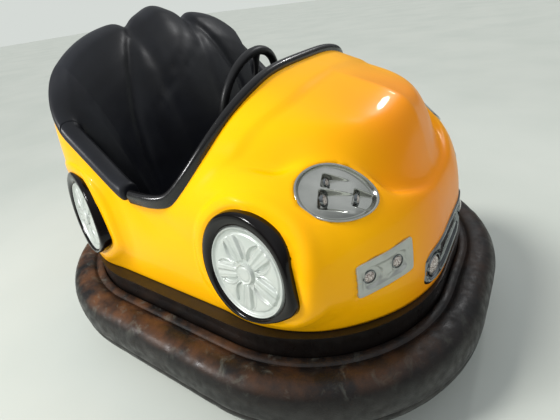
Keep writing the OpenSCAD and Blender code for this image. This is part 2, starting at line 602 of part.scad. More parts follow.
module drive_motor() color("#555B60") translate([drive_x, 0, motor_z + fit]) {
    cylinder(r = 58, h = 150, $fn = 64);
    translate([0, 0, 150]) cylinder(r = 34, h = 14, $fn = 48);
}
module drive_spindle() color("#8C9196") translate([drive_x, 0, motor_z + 164 + 2 * fit])
    cylinder(r = shaft_r, h = joint_z - motor_z - 164 - 16 - 2 * fit, $fn = 32);
module wheel_tyre(r, w, bore) difference() {
    rotate([90, 0, 0]) cylinder(r = r, h = w, center = true, $fn = 96);
    rotate([90, 0, 0]) cylinder(r = bore, h = w + 2, center = true, $fn = 96);
}
module drive_tyre() color("#1C1C1D") translate([drive_x, 0, drive_r]) wheel_tyre(drive_r, drive_w, drive_r - 22);
module drive_hub() color("#9AA0A5") translate([drive_x, 0, drive_r])
    wheel_tyre(drive_r - 22 - fit, drive_w - 4, 10 + run);
module rear_tyre() color("#1C1C1D") translate([-rear_x, rear_y, rear_r]) wheel_tyre(rear_r, rear_w, rear_r - 20);
module rear_hub() color("#9AA0A5") translate([-rear_x, rear_y, rear_r])
    wheel_tyre(rear_r - 20 - fit, rear_w - 4, 8 + run);
cheek = rear_w / 2 + 5;
saddle_z = 2 * rear_r + 10;
module rear_bracket() color("#4A4F54") translate([-rear_x, rear_y, 0]) {
    for (s = [-1, 1]) {
        translate([-30, s * (cheek + 3) - 3, rear_r - 16]) cube([60, 6, saddle_z - rear_r + 22]);
        translate([-30, s > 0 ? cheek + 5 : -cheek - 35, plate_top + fit]) cube([60, 30, 5]);
    }
    translate([-30, -cheek - 6, saddle_z]) cube([60, 2 * cheek + 12, 6]);
    translate([0, 0, rear_r]) rotate([90, 0, 0]) cylinder(r = 8, h = 2 * cheek + 12, center = true, $fn = 32);
}
module rear_tyre_left() rear_tyre();
module rear_tyre_right() mirror([0, 1, 0]) rear_tyre();
module rear_hub_left() rear_hub();
module rear_hub_right() mirror([0, 1, 0]) rear_hub();
module rear_bracket_left() rear_bracket();
module rear_bracket_right() mirror([0, 1, 0]) rear_bracket();

floor_plate();
ring_band();
rubber_ring();
body_shell();
cockpit_liner();
seat_base();
seat_cushion();
seat_back();
side_pad_left();
side_pad_right();
cockpit_trim();
battery();
steering_gantry();
steering_box();
column_tube();
drive_spindle();
steering_shaft();
steering_wheel();
accelerator_pedal();
swivel_race();
drive_yoke();
drive_motor();
drive_tyre();
drive_hub();
rear_bracket_left();
rear_bracket_right();
rear_tyre_left();
rear_tyre_right();
rear_hub_left();
rear_hub_right();
mock_tyre_front_left();
mock_tyre_front_right();
mock_tyre_rear_left();
mock_tyre_rear_right();
mock_rim_front_left();
mock_rim_front_right();
mock_rim_rear_left();
mock_rim_rear_right();
headlamp_left();
headlamp_right();
fog_lamp_left();
fog_lamp_right();
front_strip();
tail_lamp_left();
tail_lamp_right();
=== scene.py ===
"""Fairground bumper car, dressed over its solid model.

The moulded body, the rubber ring, the upholstery, the lamps and the mock wheels are modelled here in
millimetres, in the solid model's own frame, and turned to metres when each piece is finished.
"""

import logging
from dataclasses import dataclass
from enum import Enum
from functools import cached_property, lru_cache
from math import atan2, copysign, cos, degrees, exp, hypot, log, pi, radians, sin, sqrt
from typing import Callable, Iterable, Sequence

import bmesh
import bpy
from mathutils import Matrix, Vector, noise


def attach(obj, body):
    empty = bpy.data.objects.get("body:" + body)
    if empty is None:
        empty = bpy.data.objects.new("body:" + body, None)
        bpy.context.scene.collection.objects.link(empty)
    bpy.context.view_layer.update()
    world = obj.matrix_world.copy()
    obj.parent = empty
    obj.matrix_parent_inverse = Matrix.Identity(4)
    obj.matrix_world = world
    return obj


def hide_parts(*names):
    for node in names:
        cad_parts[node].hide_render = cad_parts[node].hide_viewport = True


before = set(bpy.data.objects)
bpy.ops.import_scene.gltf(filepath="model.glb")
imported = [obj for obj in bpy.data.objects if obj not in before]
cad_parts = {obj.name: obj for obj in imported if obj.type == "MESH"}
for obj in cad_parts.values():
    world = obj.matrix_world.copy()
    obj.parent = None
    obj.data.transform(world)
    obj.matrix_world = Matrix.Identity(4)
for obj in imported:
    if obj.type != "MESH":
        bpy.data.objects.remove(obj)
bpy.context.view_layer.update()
logger = logging.getLogger("bumper_car")

MM = 0.001
Tree, Socket = bpy.types.NodeTree, bpy.types.NodeSocket
Mesh = bmesh.types.BMesh
Place = Callable[[float, float], Vector]


class Side(Enum):
    """The two sides of the car, as the factor on the y axis."""

    LEFT = 1
    RIGHT = -1


# ---------------------------------------------------------------------------------------------- sums
def clamp(value: float, low: float = 0.0, high: float = 1.0) -> float:
    """Keep a value between two limits."""
    return min(high, max(low, value))


def ease(start: float, end: float, value: float) -> float:
    """Smooth share, from 0 to 1, of the way from start to end that a value has covered."""
    k = clamp((value - start) / (end - start))
    return k * k * (3.0 - 2.0 * k)


def bump(distance: float, width: float) -> float:
    """Bell curve of height 1 and the given half width."""
    return exp(-(distance / width) ** 2)


def table(line: Sequence[tuple[float, float]], at: float) -> float:
    """Read a table of points by straight lines between them.

    Args:
        line: Points in rising order.
        at: Where to read.

    Returns:
        The value there.
    """
    for (a, va), (b, vb) in zip(line, line[1:]):
        if at <= b:
            return va + (vb - va) * (at - a) / (b - a)
    return line[-1][1]


def linear(hex_code: str) -> tuple[float, float, float, float]:
    """Turn an sRGB hex value into the linear colour that a shader takes."""
    parts = [int(hex_code[i:i + 2], 16) / 255 for i in (1, 3, 5)]
    return (*(c / 12.92 if c <= 0.04045 else ((c + 0.055) / 1.055) ** 2.4 for c in parts), 1.0)


def per(size_mm: float) -> float:
    """Texture scale at which one feature of a pattern measures the given millimetres."""
    return 1000.0 / size_mm


# ------------------------------------------------------------------------------------------- finishes
def add(tree: Tree, kind: str, values: dict | None = None, **settings: object) -> bpy.types.Node:
    """Add a shader node.

    Args:
        tree: The material's node tree.
        kind: The node's type, without its common prefix.
        values: For each input, by name or place, a plain value or the output that feeds it.
        **settings: Properties of the node itself.

    Returns:
        The new node.
    """
    item = tree.nodes.new("ShaderNode" + kind)
    for key, value in settings.items():
        setattr(item, key, value)
    for key, value in (values or {}).items():
        if isinstance(value, Socket):
            tree.links.new(value, item.inputs[key])
        else:
            item.inputs[key].default_value = value
    return item


def spread(tree: Tree, value: Socket, low: float, high: float, start: float = 0.0, end: float = 1.0,
           curve: str = "LINEAR") -> Socket:
    """Map values from low to high onto start to end, held at both ends."""
    values = {0: value, 1: low, 2: high, 3: start, 4: end}
    return add(tree, "MapRange", values, interpolation_type=curve).outputs[0]


def cloud(tree: Tree, where: Socket, size_mm: float, detail: float, **more: float) -> Socket:
    """Noise with features of the given millimetres."""
    return add(tree, "TexNoise", {"Vector": where, "Scale": per(size_mm), "Detail": detail, **more}).outputs[0]


def blend(tree: Tree, share: Socket, under: object, over: object) -> Socket:
    """Lay one colour over another by a share."""
    return add(tree, "Mix", {0: share, 6: under, 7: over}, data_type="RGBA").outputs[2]


def reckon(tree: Tree, operation: str, *terms: object, **settings: object) -> Socket:
    """Result of one sum over sockets or plain values."""
    return add(tree, "Math", dict(enumerate(terms)), operation=operation, **settings).outputs[0]


class Grain(Enum):
    """Kinds of fine relief on a surface."""

    PEEL = "slow waves of a sprayed or moulded skin"
    CELLS = "small closed cells, as on vinyl"
    LINES = "fine lines of brushing or turning"
    PRISMS = "facets of moulded glass"


@dataclass(frozen=True)
class Finish:
    """A surface: its two colours, how rough it is, its fine relief and what lies on it."""

    name: str
    colour: str
    patch: str
    patch_mm: float
    rough: tuple[float, float]
    metallic: float = 0.0
    coat: float = 0.0
    coat_rough: float = 0.06
    grain: Grain = Grain.PEEL
    grain_mm: float = 4.0
    depth_mm: float = 0.05
    dust: str = ""
    dust_share: float = 0.0
    dust_mm: float = 60.0
    gloss: float = 0.5

    def make(self) -> bpy.types.Material:
        """Build the material once and hand out the same one after that."""
        known = bpy.data.materials.get(self.name)
        if known:
            return known
        material = bpy.data.materials.new(self.name)
        material.use_nodes = True
        tree = material.node_tree
        shader = tree.nodes["Principled BSDF"]
        where = add(tree, "TexCoord").outputs["Object"]
        colour, rough = self.body(tree, where)
        if self.dust:
            colour, rough = self.settle(tree, where, colour, rough)
        bent = self.relief(tree, where)
        for name, fed in (("Base Color", colour), ("Roughness", rough), ("Normal", bent)):
            tree.links.new(fed, shader.inputs[name])
        for name, value in (("Metallic", self.metallic), ("Coat Weight", self.coat),
                            ("Specular IOR Level", self.gloss), ("Coat Roughness", self.coat_rough)):
            shader.inputs[name].default_value = value
        return material

    def body(self, tree: Tree, where: Socket) -> tuple[Socket, Socket]:
        """Colour and roughness that drift between two values over patches of the surface."""
        share = spread(tree, cloud(tree, where, self.patch_mm, 5.0), 0.38, 0.66)
        colour = blend(tree, share, linear(self.colour), linear(self.patch))
        fine = cloud(tree, where, self.patch_mm * 0.27, 6.0)
        return colour, spread(tree, fine, 0.3, 0.7, *self.rough)

    def settle(self, tree: Tree, where: Socket, colour: Socket, rough: Socket) -> tuple[Socket, Socket]:
        """Lay dust on the parts that face upwards, in clouds."""
        facing = add(tree, "SeparateXYZ", {0: add(tree, "NewGeometry").outputs["Normal"]}).outputs[2]
        clear = spread(tree, cloud(tree, where, self.dust_mm, 7.0), 0.35, 0.72, 0.15, self.dust_share)
        share = reckon(tree, "MULTIPLY", spread(tree, facing, 0.1, 0.95), clear)
        matt = reckon(tree, "MULTIPLY", share, 0.4)
        return (blend(tree, share, colour, linear(self.dust)),
                reckon(tree, "ADD", rough, matt, use_clamp=True))

    def relief(self, tree: Tree, where: Socket) -> Socket:
        """Fine relief of the surface as a bent normal."""
        if self.grain in (Grain.CELLS, Grain.PRISMS):
            cells = add(tree, "TexVoronoi", {"Vector": where, "Scale": per(self.grain_mm)})
            height = cells.outputs["Distance"]
        elif self.grain is Grain.LINES:
            long = add(tree, "Mapping", {0: where, 3: (1.0, 12.0, 1.0)}).outputs[0]
            height = cloud(tree, long, self.grain_mm, 3.0)
        else:
            height = cloud(tree, where, self.grain_mm, 4.0)
        depth = self.depth_mm * MM
        return add(tree, "Bump", {"Height": height, "Distance": depth, "Strength": 1.0}).outputs[0]


@dataclass(frozen=True)
class GelcoatWithPaintedShade(Finish):
    """Sprayed polyester gelcoat on glass fibre, with painted shade in a deeper orange over the bonnet and the
    nose.
    """

    # Orange of the painted shade over the nose and the middle of the bonnet
    deep: str = "#F89400"

    def body(self, tree: Tree, where: Socket) -> tuple[Socket, Socket]:
        """Yellow sides, and painted shade that turns the nose and the middle of the bonnet orange, with the
        slight clouds of hand spraying.
        """
        colour, rough = super().body(tree, where)
        # Painted shade: the colour turns orange over the nose and the middle of the bonnet
        axes = add(tree, "SeparateXYZ", {0: where}).outputs
        ahead = spread(tree, axes[0], 0.16, 0.5, curve="SMOOTHSTEP")
        middle = spread(tree, reckon(tree, "ABSOLUTE", axes[1]), 0.08, 0.36, 1.0, 0.0, "SMOOTHSTEP")
        return blend(tree, reckon(tree, "MULTIPLY", ahead, middle), colour, linear(self.deep)), rough


@dataclass(frozen=True)
class WornRubber(Finish):
    """Black rubber tube, scraped grey and stained rust brown along its upper side by other cars."""

    stain: str = "#5A391F"
    scrape: str = "#6C7067"

    def body(self, tree: Tree, where: Socket) -> tuple[Socket, Socket]:
        """Stains and scrapes by height on the tube and by clouds along it."""
        colour, rough = super().body(tree, where)
        axes = add(tree, "SeparateXYZ", {0: where}).outputs
        rear = spread(tree, axes[0], 0.62, -0.2, 0.25, 1.0)
        high = spread(tree, axes[2], 0.196, 0.221, curve="SMOOTHSTEP")
        band = spread(tree, axes[2], 0.17, 0.22)
        stained = spread(tree, cloud(tree, where, 120, 8.0, Roughness=0.62), 0.42, 0.64)
        fine = cloud(tree, where, 38, 9.0, Roughness=0.7, Distortion=0.6)
        scraped = spread(tree, fine, 0.55, 0.72, 0.0, 0.6)
        for share, zone, tone in ((stained, high, self.stain), (scraped, band, self.scrape)):
            share = reckon(tree, "MULTIPLY", reckon(tree, "MULTIPLY", share, zone), rear)
            colour = blend(tree, share, colour, linear(tone))
        return colour, reckon(tree, "ADD", rough, spread(tree, share, 0.0, 1.0, 0.0, 0.3))


# Sprayed polyester gelcoat: deep, even colour under a hard gloss, with the faint peel of the spray gun, and a
# painted shade of orange over the nose and the bonnet
GELCOAT_WITH_PAINTED_SHADE = GelcoatWithPaintedShade("sprayed_gelcoat", "#FFBB00", "#FDB300", 260, (0.3, 0.38), coat=0.14, coat_rough=0.04,
                  grain_mm=9, depth_mm=0.03, gloss=0.12)
# Solid bumper rubber: black where fresh, rough, scraped and stained by use
RING_RUBBER = WornRubber("worn_bumper_rubber", "#0C0908", "#16110F", 90, (0.3, 0.6), grain_mm=3,
                         depth_mm=0.5, gloss=0.4)
# Steel band painted black by brush: some gloss, dust on the ledge
BLACK_STEEL = Finish("brush_painted_steel", "#0D0A09", "#15110F", 70, (0.26, 0.46), coat=0.3, grain_mm=14,
                     depth_mm=0.12, dust="#231C17", dust_share=0.16, gloss=0.35)
# Upholstery vinyl on foam: small closed cells pressed into a soft black skin with a broad sheen
VINYL = Finish("pressed_vinyl", "#111217", "#181A20", 120, (0.36, 0.48), coat=0.1, coat_rough=0.3,
               grain=Grain.CELLS, grain_mm=1.6, depth_mm=0.12, gloss=0.4)
# Extruded rubber edging: dense black with a wet gloss
EDGE_RUBBER = Finish("extruded_edge_rubber", "#0B0A0B", "#100F10", 40, (0.22, 0.3), coat=0.2, grain_mm=20,
                     depth_mm=0.03)
# Moulded polyurethane of the steering wheel: even black, soft shine, fine leather-like cells
WHEEL_FOAM = Finish("moulded_polyurethane", "#131314", "#1B1B1D", 50, (0.34, 0.46), grain=Grain.CELLS,
                    grain_mm=1.4, depth_mm=0.1)
# Rotation moulded polyethylene of the lining and the seat box: flat black with a faint peel. On the shell's
# inner side and the sheet inside its wall, the same black is painted shade
BLACK_PLASTIC = Finish("moulded_polyethylene", "#121214", "#1B1B1E", 80, (0.45, 0.6), grain_mm=2.5,
                       depth_mm=0.12, dust="#55504A", dust_share=0.2)
# Gloss black enamel over moulded glass fibre: the mock tyres
BLACK_ENAMEL = Finish("gloss_black_enamel", "#060303", "#080404", 60, (0.12, 0.18), coat=0.08, coat_rough=0.03,
                      grain_mm=8, depth_mm=0.04, gloss=0.28)
# Pale silver lacquer with fine flake under clear coat: the mock rims
SILVER_LACQUER = Finish("silver_lacquer", "#CBD0CA", "#BDC4BE", 45, (0.32, 0.42), metallic=0.4, coat=0.35,
                        coat_rough=0.1, grain_mm=0.8, depth_mm=0.02)
# Vacuum metallised plastic of the lamp pods: satin silver, slightly cloudy
METALLISED = Finish("metallised_plastic", "#C8C9C2", "#B4B6AF", 60, (0.16, 0.22), metallic=0.95, coat=0.2,
                    grain_mm=30, depth_mm=0.02)
# Silver painted plastic of the fog lamp plates: satin, even
SATIN_PLATE = Finish("satin_silver_plastic", "#C2C4BE", "#B6B8B2", 40, (0.36, 0.44), metallic=0.7,
                     grain_mm=1.2, depth_mm=0.01)
# Chromed plastic of the front strip: dark, sharp reflections
CHROMED = Finish("chromed_plastic", "#8C9092", "#6E7274", 40, (0.07, 0.14), metallic=1.0, grain_mm=12,
                 depth_mm=0.05)
# Clear moulded lamp glass over a bulb, with painted glints: pale patches paint the facets' highlights, brown
# patches paint the shade in the depth between them
GLASS_WITH_PAINTED_GLINTS = Finish("lamp_glass_painted_glints", "#D8CFC6", "#5F4A40", 3.2, (0.03, 0.08), coat=1.0, coat_rough=0.02,
                    grain=Grain.PRISMS, grain_mm=5, depth_mm=1.6)
# Red moulded lamp glass of the tail lamps
RED_GLASS = Finish("faceted_red_glass", "#B3100C", "#7A0807", 12, (0.04, 0.09), coat=1.0, coat_rough=0.02,
                   grain=Grain.PRISMS, grain_mm=6, depth_mm=1.2)
# Turned bare steel of shafts and races: fine lines, a little oil
BARE_STEEL = Finish("turned_steel", "#9A9C9E", "#7F8184", 30, (0.22, 0.4), metallic=1.0, grain=Grain.LINES,
                    grain_mm=6, depth_mm=0.03)
# Grey stove enamel on the motor and the drive yoke
GREY_ENAMEL = Finish("grey_stove_enamel", "#4E5357", "#5B6064", 60, (0.34, 0.5), grain_mm=3, depth_mm=0.08,
                     dust="#6A625A", dust_share=0.3)
# Cast aluminium hubs: pale, grainy from the sand
CAST_METAL = Finish("cast_aluminium", "#A9ABAC", "#8E9092", 20, (0.38, 0.55), metallic=0.9, grain_mm=1.5,
                    depth_mm=0.15)
# Solid rubber of the running wheels: grey black, scuffed
WHEEL_RUBBER = Finish("solid_wheel_rubber", "#1A1919", "#262524", 30, (0.55, 0.75), grain_mm=2, depth_mm=0.2,
                      dust="#5C564F", dust_share=0.3)
# Polypropylene battery case: deep blue with moulded ribs' haze
BATTERY_CASE = Finish("moulded_polypropylene", "#1B3E70", "#234A80", 50, (0.4, 0.52), grain_mm=2,
                      depth_mm=0.08)

# Solid nodes that show as they are, by their finish
KEPT = {
    BLACK_STEEL: ("floor_plate", "ring_band", "steering_gantry", "column_tube", "accelerator_pedal",
                  "rear_bracket_left", "rear_bracket_right"),
    BLACK_PLASTIC: ("cockpit_liner", "seat_base"),
    BATTERY_CASE: ("battery",),
    GREY_ENAMEL: ("steering_box", "drive_yoke", "drive_motor"),
    BARE_STEEL: ("steering_shaft", "swivel_race", "drive_spindle"),
    CAST_METAL: ("drive_hub", "rear_hub_left", "rear_hub_right"),
    WHEEL_RUBBER: ("drive_tyre", "rear_tyre_left", "rear_tyre_right"),
}


# --------------------------------------------------------------------------------------------- pieces
# A place within the body, which every part of its skin faces away from
INSIDE = Vector((0, 0, 300))


def sheet(place: Place, across: int, along: int) -> Mesh:
    """Grid whose points are moved to where a rule puts them.

    Args:
        place: Rule from two shares, each 0 to 1, to a point in millimetres.
        across: Cells over the first share.
        along: Cells over the second share.

    Returns:
        The mesh, with equal points merged.
    """
    mesh = bmesh.new()
    bmesh.ops.create_grid(mesh, x_segments=across, y_segments=along, size=0.5)
    for vert in mesh.verts:
        vert.co = place(clamp(vert.co.x + 0.5), clamp(vert.co.y + 0.5))
    bmesh.ops.remove_doubles(mesh, verts=mesh.verts, dist=0.01)
    return mesh


def face_out(mesh: Mesh, centre: Vector | None = None) -> None:
    """Turn every face outwards, by the centre that an open sheet is seen from if there is one."""
    bmesh.ops.recalc_face_normals(mesh, faces=mesh.faces)
    if centre is not None:
        lean = sum(f.normal.dot(f.calc_center_median() - centre) * f.calc_area() for f in mesh.faces)
        if lean < 0:
            bmesh.ops.reverse_faces(mesh, faces=mesh.faces)


def finish_piece(mesh: Mesh, name: str, finish: Finish, body: str, slot: str,
                 replaced: Iterable[str] = (), sharp: float = 40.0,
                 side: Side = Side.LEFT) -> bpy.types.Object:
    """Turn a mesh in millimetres into a finished piece of the car.

    Args:
        mesh: The mesh, drawn on the left side where it is one of a pair.
        name: The piece's name.
        finish: Its surface.
        body: The body that it moves with.
        slot: The record's material slot. Not used.
        replaced: Solid nodes that it stands for.
        sharp: Edges that bend more than this many degrees stay crisp.
        side: The side that it is wanted on.

    Returns:
        The new object.
    """
    if side is Side.RIGHT:
        bmesh.ops.scale(mesh, vec=(1, -1, 1), verts=mesh.verts)
        bmesh.ops.reverse_faces(mesh, faces=mesh.faces)
    bmesh.ops.scale(mesh, vec=(MM, MM, MM), verts=mesh.verts)
    for face in mesh.faces:
        face.smooth = True
    for edge in mesh.edges:
        edge.smooth = not (edge.is_manifold and edge.calc_face_angle(0.0) > radians(sharp))
    data = bpy.data.meshes.new(name)
    mesh.to_mesh(data)
    mesh.free()
    piece = bpy.data.objects.new(name, data)
    bpy.context.scene.collection.objects.link(piece)
    data.materials.append(finish.make())
    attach(piece, body)
    if replaced:
        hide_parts(*replaced)
    logger.info("%s: %d faces, %s", name, len(data.polygons), finish.name)
    return piece


def revolve(mesh: Mesh, profile: Sequence[tuple[float, float]], steps: int, closed: bool = False) -> None:
    """Turn a profile of radii and heights once round the third axis.

    Args:
        mesh: The mesh that it is added to.
        profile: Its points.
        steps: Cells round the axis.
        closed: Whether its last point joins its first.
    """
    verts = [mesh.verts.new((r, 0, h)) for r, h in profile]
    after = verts[1:] + verts[:1] if closed else verts[1:]
    edges = [mesh.edges.new(couple) for couple in zip(verts, after)]
    bmesh.ops.spin(mesh, geom=verts + edges, cent=(0, 0, 0), axis=(0, 0, 1), angle=2 * pi, steps=steps,
                   use_merge=True)


def close_ends(mesh: Mesh) -> None:
    """Close the open ends of a tube and turn its faces outwards."""
    bmesh.ops.holes_fill(mesh, edges=mesh.edges, sides=0)
    face_out(mesh)


def round_off(piece: bpy.types.Object) -> None:
    """Round a piece by one level of subdivision."""
    smooth = piece.modifiers.new("round", "SUBSURF")
    smooth.levels = smooth.render_levels = 1


def thicken(piece: bpy.types.Object, wall_mm: float) -> bpy.types.Modifier:
    """Give an open sheet a wall on its inner side."""
    wall = piece.modifiers.new("wall", "SOLIDIFY")
    wall.thickness, wall.offset = wall_mm * MM, -1.0
    return wall


def aimed(place: Sequence[float], way: Vector, axis: str = "Z") -> Matrix:
    """Frame at a place, with one axis along a direction."""
    return Matrix.Translation(place) @ way.to_track_quat(axis, "Y").to_matrix().to_4x4()


def pair(mesh: Mesh, name: str, finish: Finish, slot: str, replaces: str = "", sharp: float = 40.0) -> list:
    """Finish a mesh of the left side and its mirrored copy on the chassis.

    Args:
        mesh: The left one.
        name: Name without its side.
        finish: Surface of both.
        slot: Material slot of both. Not used.
        replaces: Name, without its side, of the solid node that each stands for.
        sharp: Angle of crisp edges in degrees.

    Returns:
        The two objects.
    """
    copy = mesh.copy()
    return [finish_piece(m, f"{name}_{side.name.lower()}", finish, "chassis", slot,
                         [f"{replaces}_{side.name.lower()}"] if replaces else [], sharp, side)
            for m, side in ((mesh, Side.LEFT), (copy, Side.RIGHT))]


@dataclass(frozen=True)
class Stand:
    """A frame on the body: where it is, its level, rising and outward axes."""

    origin: Vector
    level: Vector
    rising: Vector
    outward: Vector

    @classmethod
    def of(cls, origin: Sequence[float], level: Sequence[float], rising: Sequence[float]) -> "Stand":
        """Frame from its place and the two axes in its plane."""
        e, k = Vector(level), Vector(rising)
        return cls(Vector(origin), e, k, e.cross(k))

    def at(self, a: float, b: float, h: float = 0.0) -> Vector:
        """Point at two distances in the frame's plane and one off it."""
        return self.origin + a * self.level + b * self.rising + h * self.outward

    def flat(self, way: Sequence[float]) -> tuple[float, float]:
        """Reach of a direction along the level and the rising axis."""
        return Vector(way).dot(self.level), Vector(way).dot(self.rising)

    def local(self, point: Vector) -> tuple[float, float, float]:
        """Distances of a point along the three axes."""
        reach = point - self.origin
        return reach.dot(self.level), reach.dot(self.rising), reach.dot(self.outward)


# ------------------------------------------------------------------------------------------ the lines
@dataclass(frozen=True)
class BodyLines:
    """The lines of the moulded body: plan outlines, sections and the relief of the bonnet.

    Places round the body are given by u: 0 at the front's middle, 0.3 to 2 the front corner, 2 to 3
    the side, 3 to 4.4 the rear corner, 5 at the rear's middle, below 0 on the right. Places up the body
    are given by t: 0 at the lower edge, 1 at the opening.
    """

    low_front: float = 586
    low_rear: float = 564
    low_half: float = 435
    low_rf: float = 379
    low_rb: float = 300
    open_front: float = 180
    open_rear: float = 336
    open_half: float = 418
    open_rf: float = 228
    open_rb: float = 75
    body_z: float = 272
    sill_z: float = 503
    sill_low: float = 530
    sill_soft: float = 10
    cowl_rise: float = 264
    pad_rise: float = 240
    lobe_rise: float = 150
    peak_rise: float = 27
    notch_d: float = 20
    notch_y: float = 111
    bonnet_x: float = 150
    bonnet_a: float = 375
    bonnet_b: float = 345
    valley_d: float = 22
    groove_d: float = 32
    wing_d: float = 18
    flare: float = 52
    front_x: float = 266
    mock_z: float = 436

    @staticmethod
    def share(u: float, start: float, end: float) -> float:
        """Straight share of a stretch that u has covered."""
        return clamp((u - start) / (end - start))

    def facing(self, u: float) -> float:
        """Direction, in radians from straight ahead, that an outline faces."""
        return pi / 2 * (self.share(u, 0.3, 2) + self.share(u, 3, 4.4))

    def plan(self, u: float, front: float, rear: float, half: float, rf: float,
             rb: float) -> tuple[float, float]:
        """Point on the left half of an outline with round corners, seen from above."""
        a = self.facing(u)
        if u < 2:
            return front - rf + rf * cos(a), self.share(u, 0, 0.3) * (half - rf) + rf * sin(a)
        if u < 3:
            return front - rf - self.share(u, 2, 3) * (front - rf + rear - rb), half
        return rb - rear + rb * cos(a), self.share(5 - u, 0, 0.6) * (half - rb) + rb * sin(a)

    def opening(self, u: float) -> tuple[float, float]:
        """Point of the cockpit opening's edge, seen from above."""
        return self.plan(abs(u), self.open_front, self.open_rear, self.open_half, self.open_rf, self.open_rb)

    def rim_height(self, x: float, y: float) -> float:
        """Height of the opening's edge: a high cowl, low sides and a lobed tail."""
        k = min(abs(y) / self.open_half, 1)
        if x > -100:
            z = self.sill_z + self.cowl_rise * (1 - k ** 3.9)
        else:
            lobe = self.lobe_rise * (1 - k ** 3.5) + self.peak_rise * bump(y, 60)
            lobe -= self.notch_d * bump(abs(y) - self.notch_y, 22)
            z = self.sill_z + self.pad_rise * (-90 - x) / (self.open_rear - 90)
            z += lobe * clamp((-x - 150) / 120)
        return z + self.sill_soft * log(1 + exp((self.sill_low - z) / self.sill_soft))

    @lru_cache(maxsize=20000)
    def section(self, u: float) -> tuple:
        """Four control points of the section at u."""
        a = self.facing(u)
        c, s = cos(a), sin(a)
        f, m, r = (c * c if c > 0 else 0), s * s, (c * c if c < 0 else 0)
        px, py = self.plan(u, self.low_front, self.low_rear, self.low_half, self.low_rf, self.low_rb)
        qx, qy = self.opening(u)
        z = self.rim_height(qx, qy)
        out1 = -13 * f + 22 * m + 14 * r + 200 * f * m
        up1 = 325 * f + 142 * m + 216 * r + 48 * f * m
        out2, up2 = 310 * f - 20 * m + 102 * r, -118 * f - 54 * m - 72 * r
        return ((px, py, self.body_z), (px + c * out1, py + s * out1, self.body_z + up1),
                (qx + c * out2, qy + s * out2, z + up2), (qx, qy, z))

    def crown(self, x: float, y: float) -> float:
        """Rise of the raised bonnet, the valley round it and the wings outside."""
        reach = sqrt((max(0, x - self.bonnet_x) / self.bonnet_a) ** 2 + (abs(y) / self.bonnet_b) ** 2.6)
        d = (self.bonnet_a + self.bonnet_b) * 0.46 * (reach - 1)
        wing = self.wing_d * bump(d - 75, 50) * bump(x - 300, 140)
        rise = 15 * bump(d + 85, 55) - self.valley_d * bump(d, 46) + wing
        if self.groove_d:
            rise += 10 * bump(d + 56, 28) - self.groove_d * bump(d + 3, 21 if d < -3 else 19)
            rise += 13 * exp(-abs(y) / 50) * ease(560, 470, x)
        return rise * ease(50, 190, x) + 18 * bump(y, 115) * bump(x - 330, 150)

    def skin(self, u: float, t: float) -> Vector:
        """Point of the outer surface."""
        v = u - 10 if u > 5 else u + 10 if u < -5 else u
        p = self.section(abs(v))
        w0, w1, w2, w3 = (1 - t) ** 3, 3 * t * (1 - t) ** 2, 3 * t * t * (1 - t), t ** 3
        x, y, z = (w0 * p[0][i] + w1 * p[1][i] + w2 * p[2][i] + w3 * p[3][i] for i in range(3))
        rise = self.crown(x, y) * sin(pi * t)
        y += self.flare * bump(x - self.front_x - 118, 80) * bump(z - self.mock_z + 26, 100)
        return Vector((x, -y if v < 0 else y, z + rise))

    def normal(self, u: float, t: float) -> Vector:
        """Outward direction of the surface."""
        d = 0.01
        around = self.skin(u + d, t) - self.skin(u - d, t)
        return around.cross(self.skin(u, min(1, t + d)) - self.skin(u, max(0, t - d))).normalized()

    def off(self, u: float, t: float, h: float) -> Vector:
        """Point at a height over the surface."""
        return self.skin(u, t) + h * self.normal(u, t)

    def stand(self, u: float, t: float) -> Stand:
        """Frame that touches the surface."""
        n = self.normal(u, t)
        e = Vector((0, 0, 1)).cross(n).normalized()
        return Stand(self.skin(u, t), e, n.cross(e), n)

    def under(self, fr: Stand, a: float, b: float, u: float, t: float, steps: int = 7) -> tuple[float, float]:
        """Place on the surface that lies under a point of a frame, found by Newton's rule."""
        d, e, k = 0.004, fr.level, fr.rising
        for _ in range(steps):
            p = self.skin(u, t)
            pu, pt = (self.skin(u + d, t) - p) / d, (self.skin(u, t + d) - p) / d
            ga, gb, _ = fr.local(p)
            ra, rb = a - ga, b - gb
            m0, m1, m2, m3 = pu.dot(e), pt.dot(e), pu.dot(k), pt.dot(k)
            det = m0 * m3 - m1 * m2
            u += clamp((ra * m3 - rb * m1) / det, -0.4, 0.4)
            t = clamp(t + clamp((rb * m0 - ra * m2) / det, -0.2, 0.2), 0.004, 0.98)
        return u, t


LINES = BodyLines()
# The same without the groove and the crest of the bonnet: what lies on the skin follows these
PLAIN = BodyLines(groove_d=0)


def wheel_stand(x: float, y: float, z: float, lean: float, yaw: float) -> Stand:
    """Flat frame of a mock wheel on the left side, leaning in and turned by two angles in degrees."""
    le, ya = radians(lean), radians(yaw)
    e = Vector((-cos(ya), -sin(ya), 0))
    k = Vector((sin(ya) * sin(le), -cos(ya) * sin(le), cos(le)))
    return Stand.of((x, y, z), e, k)


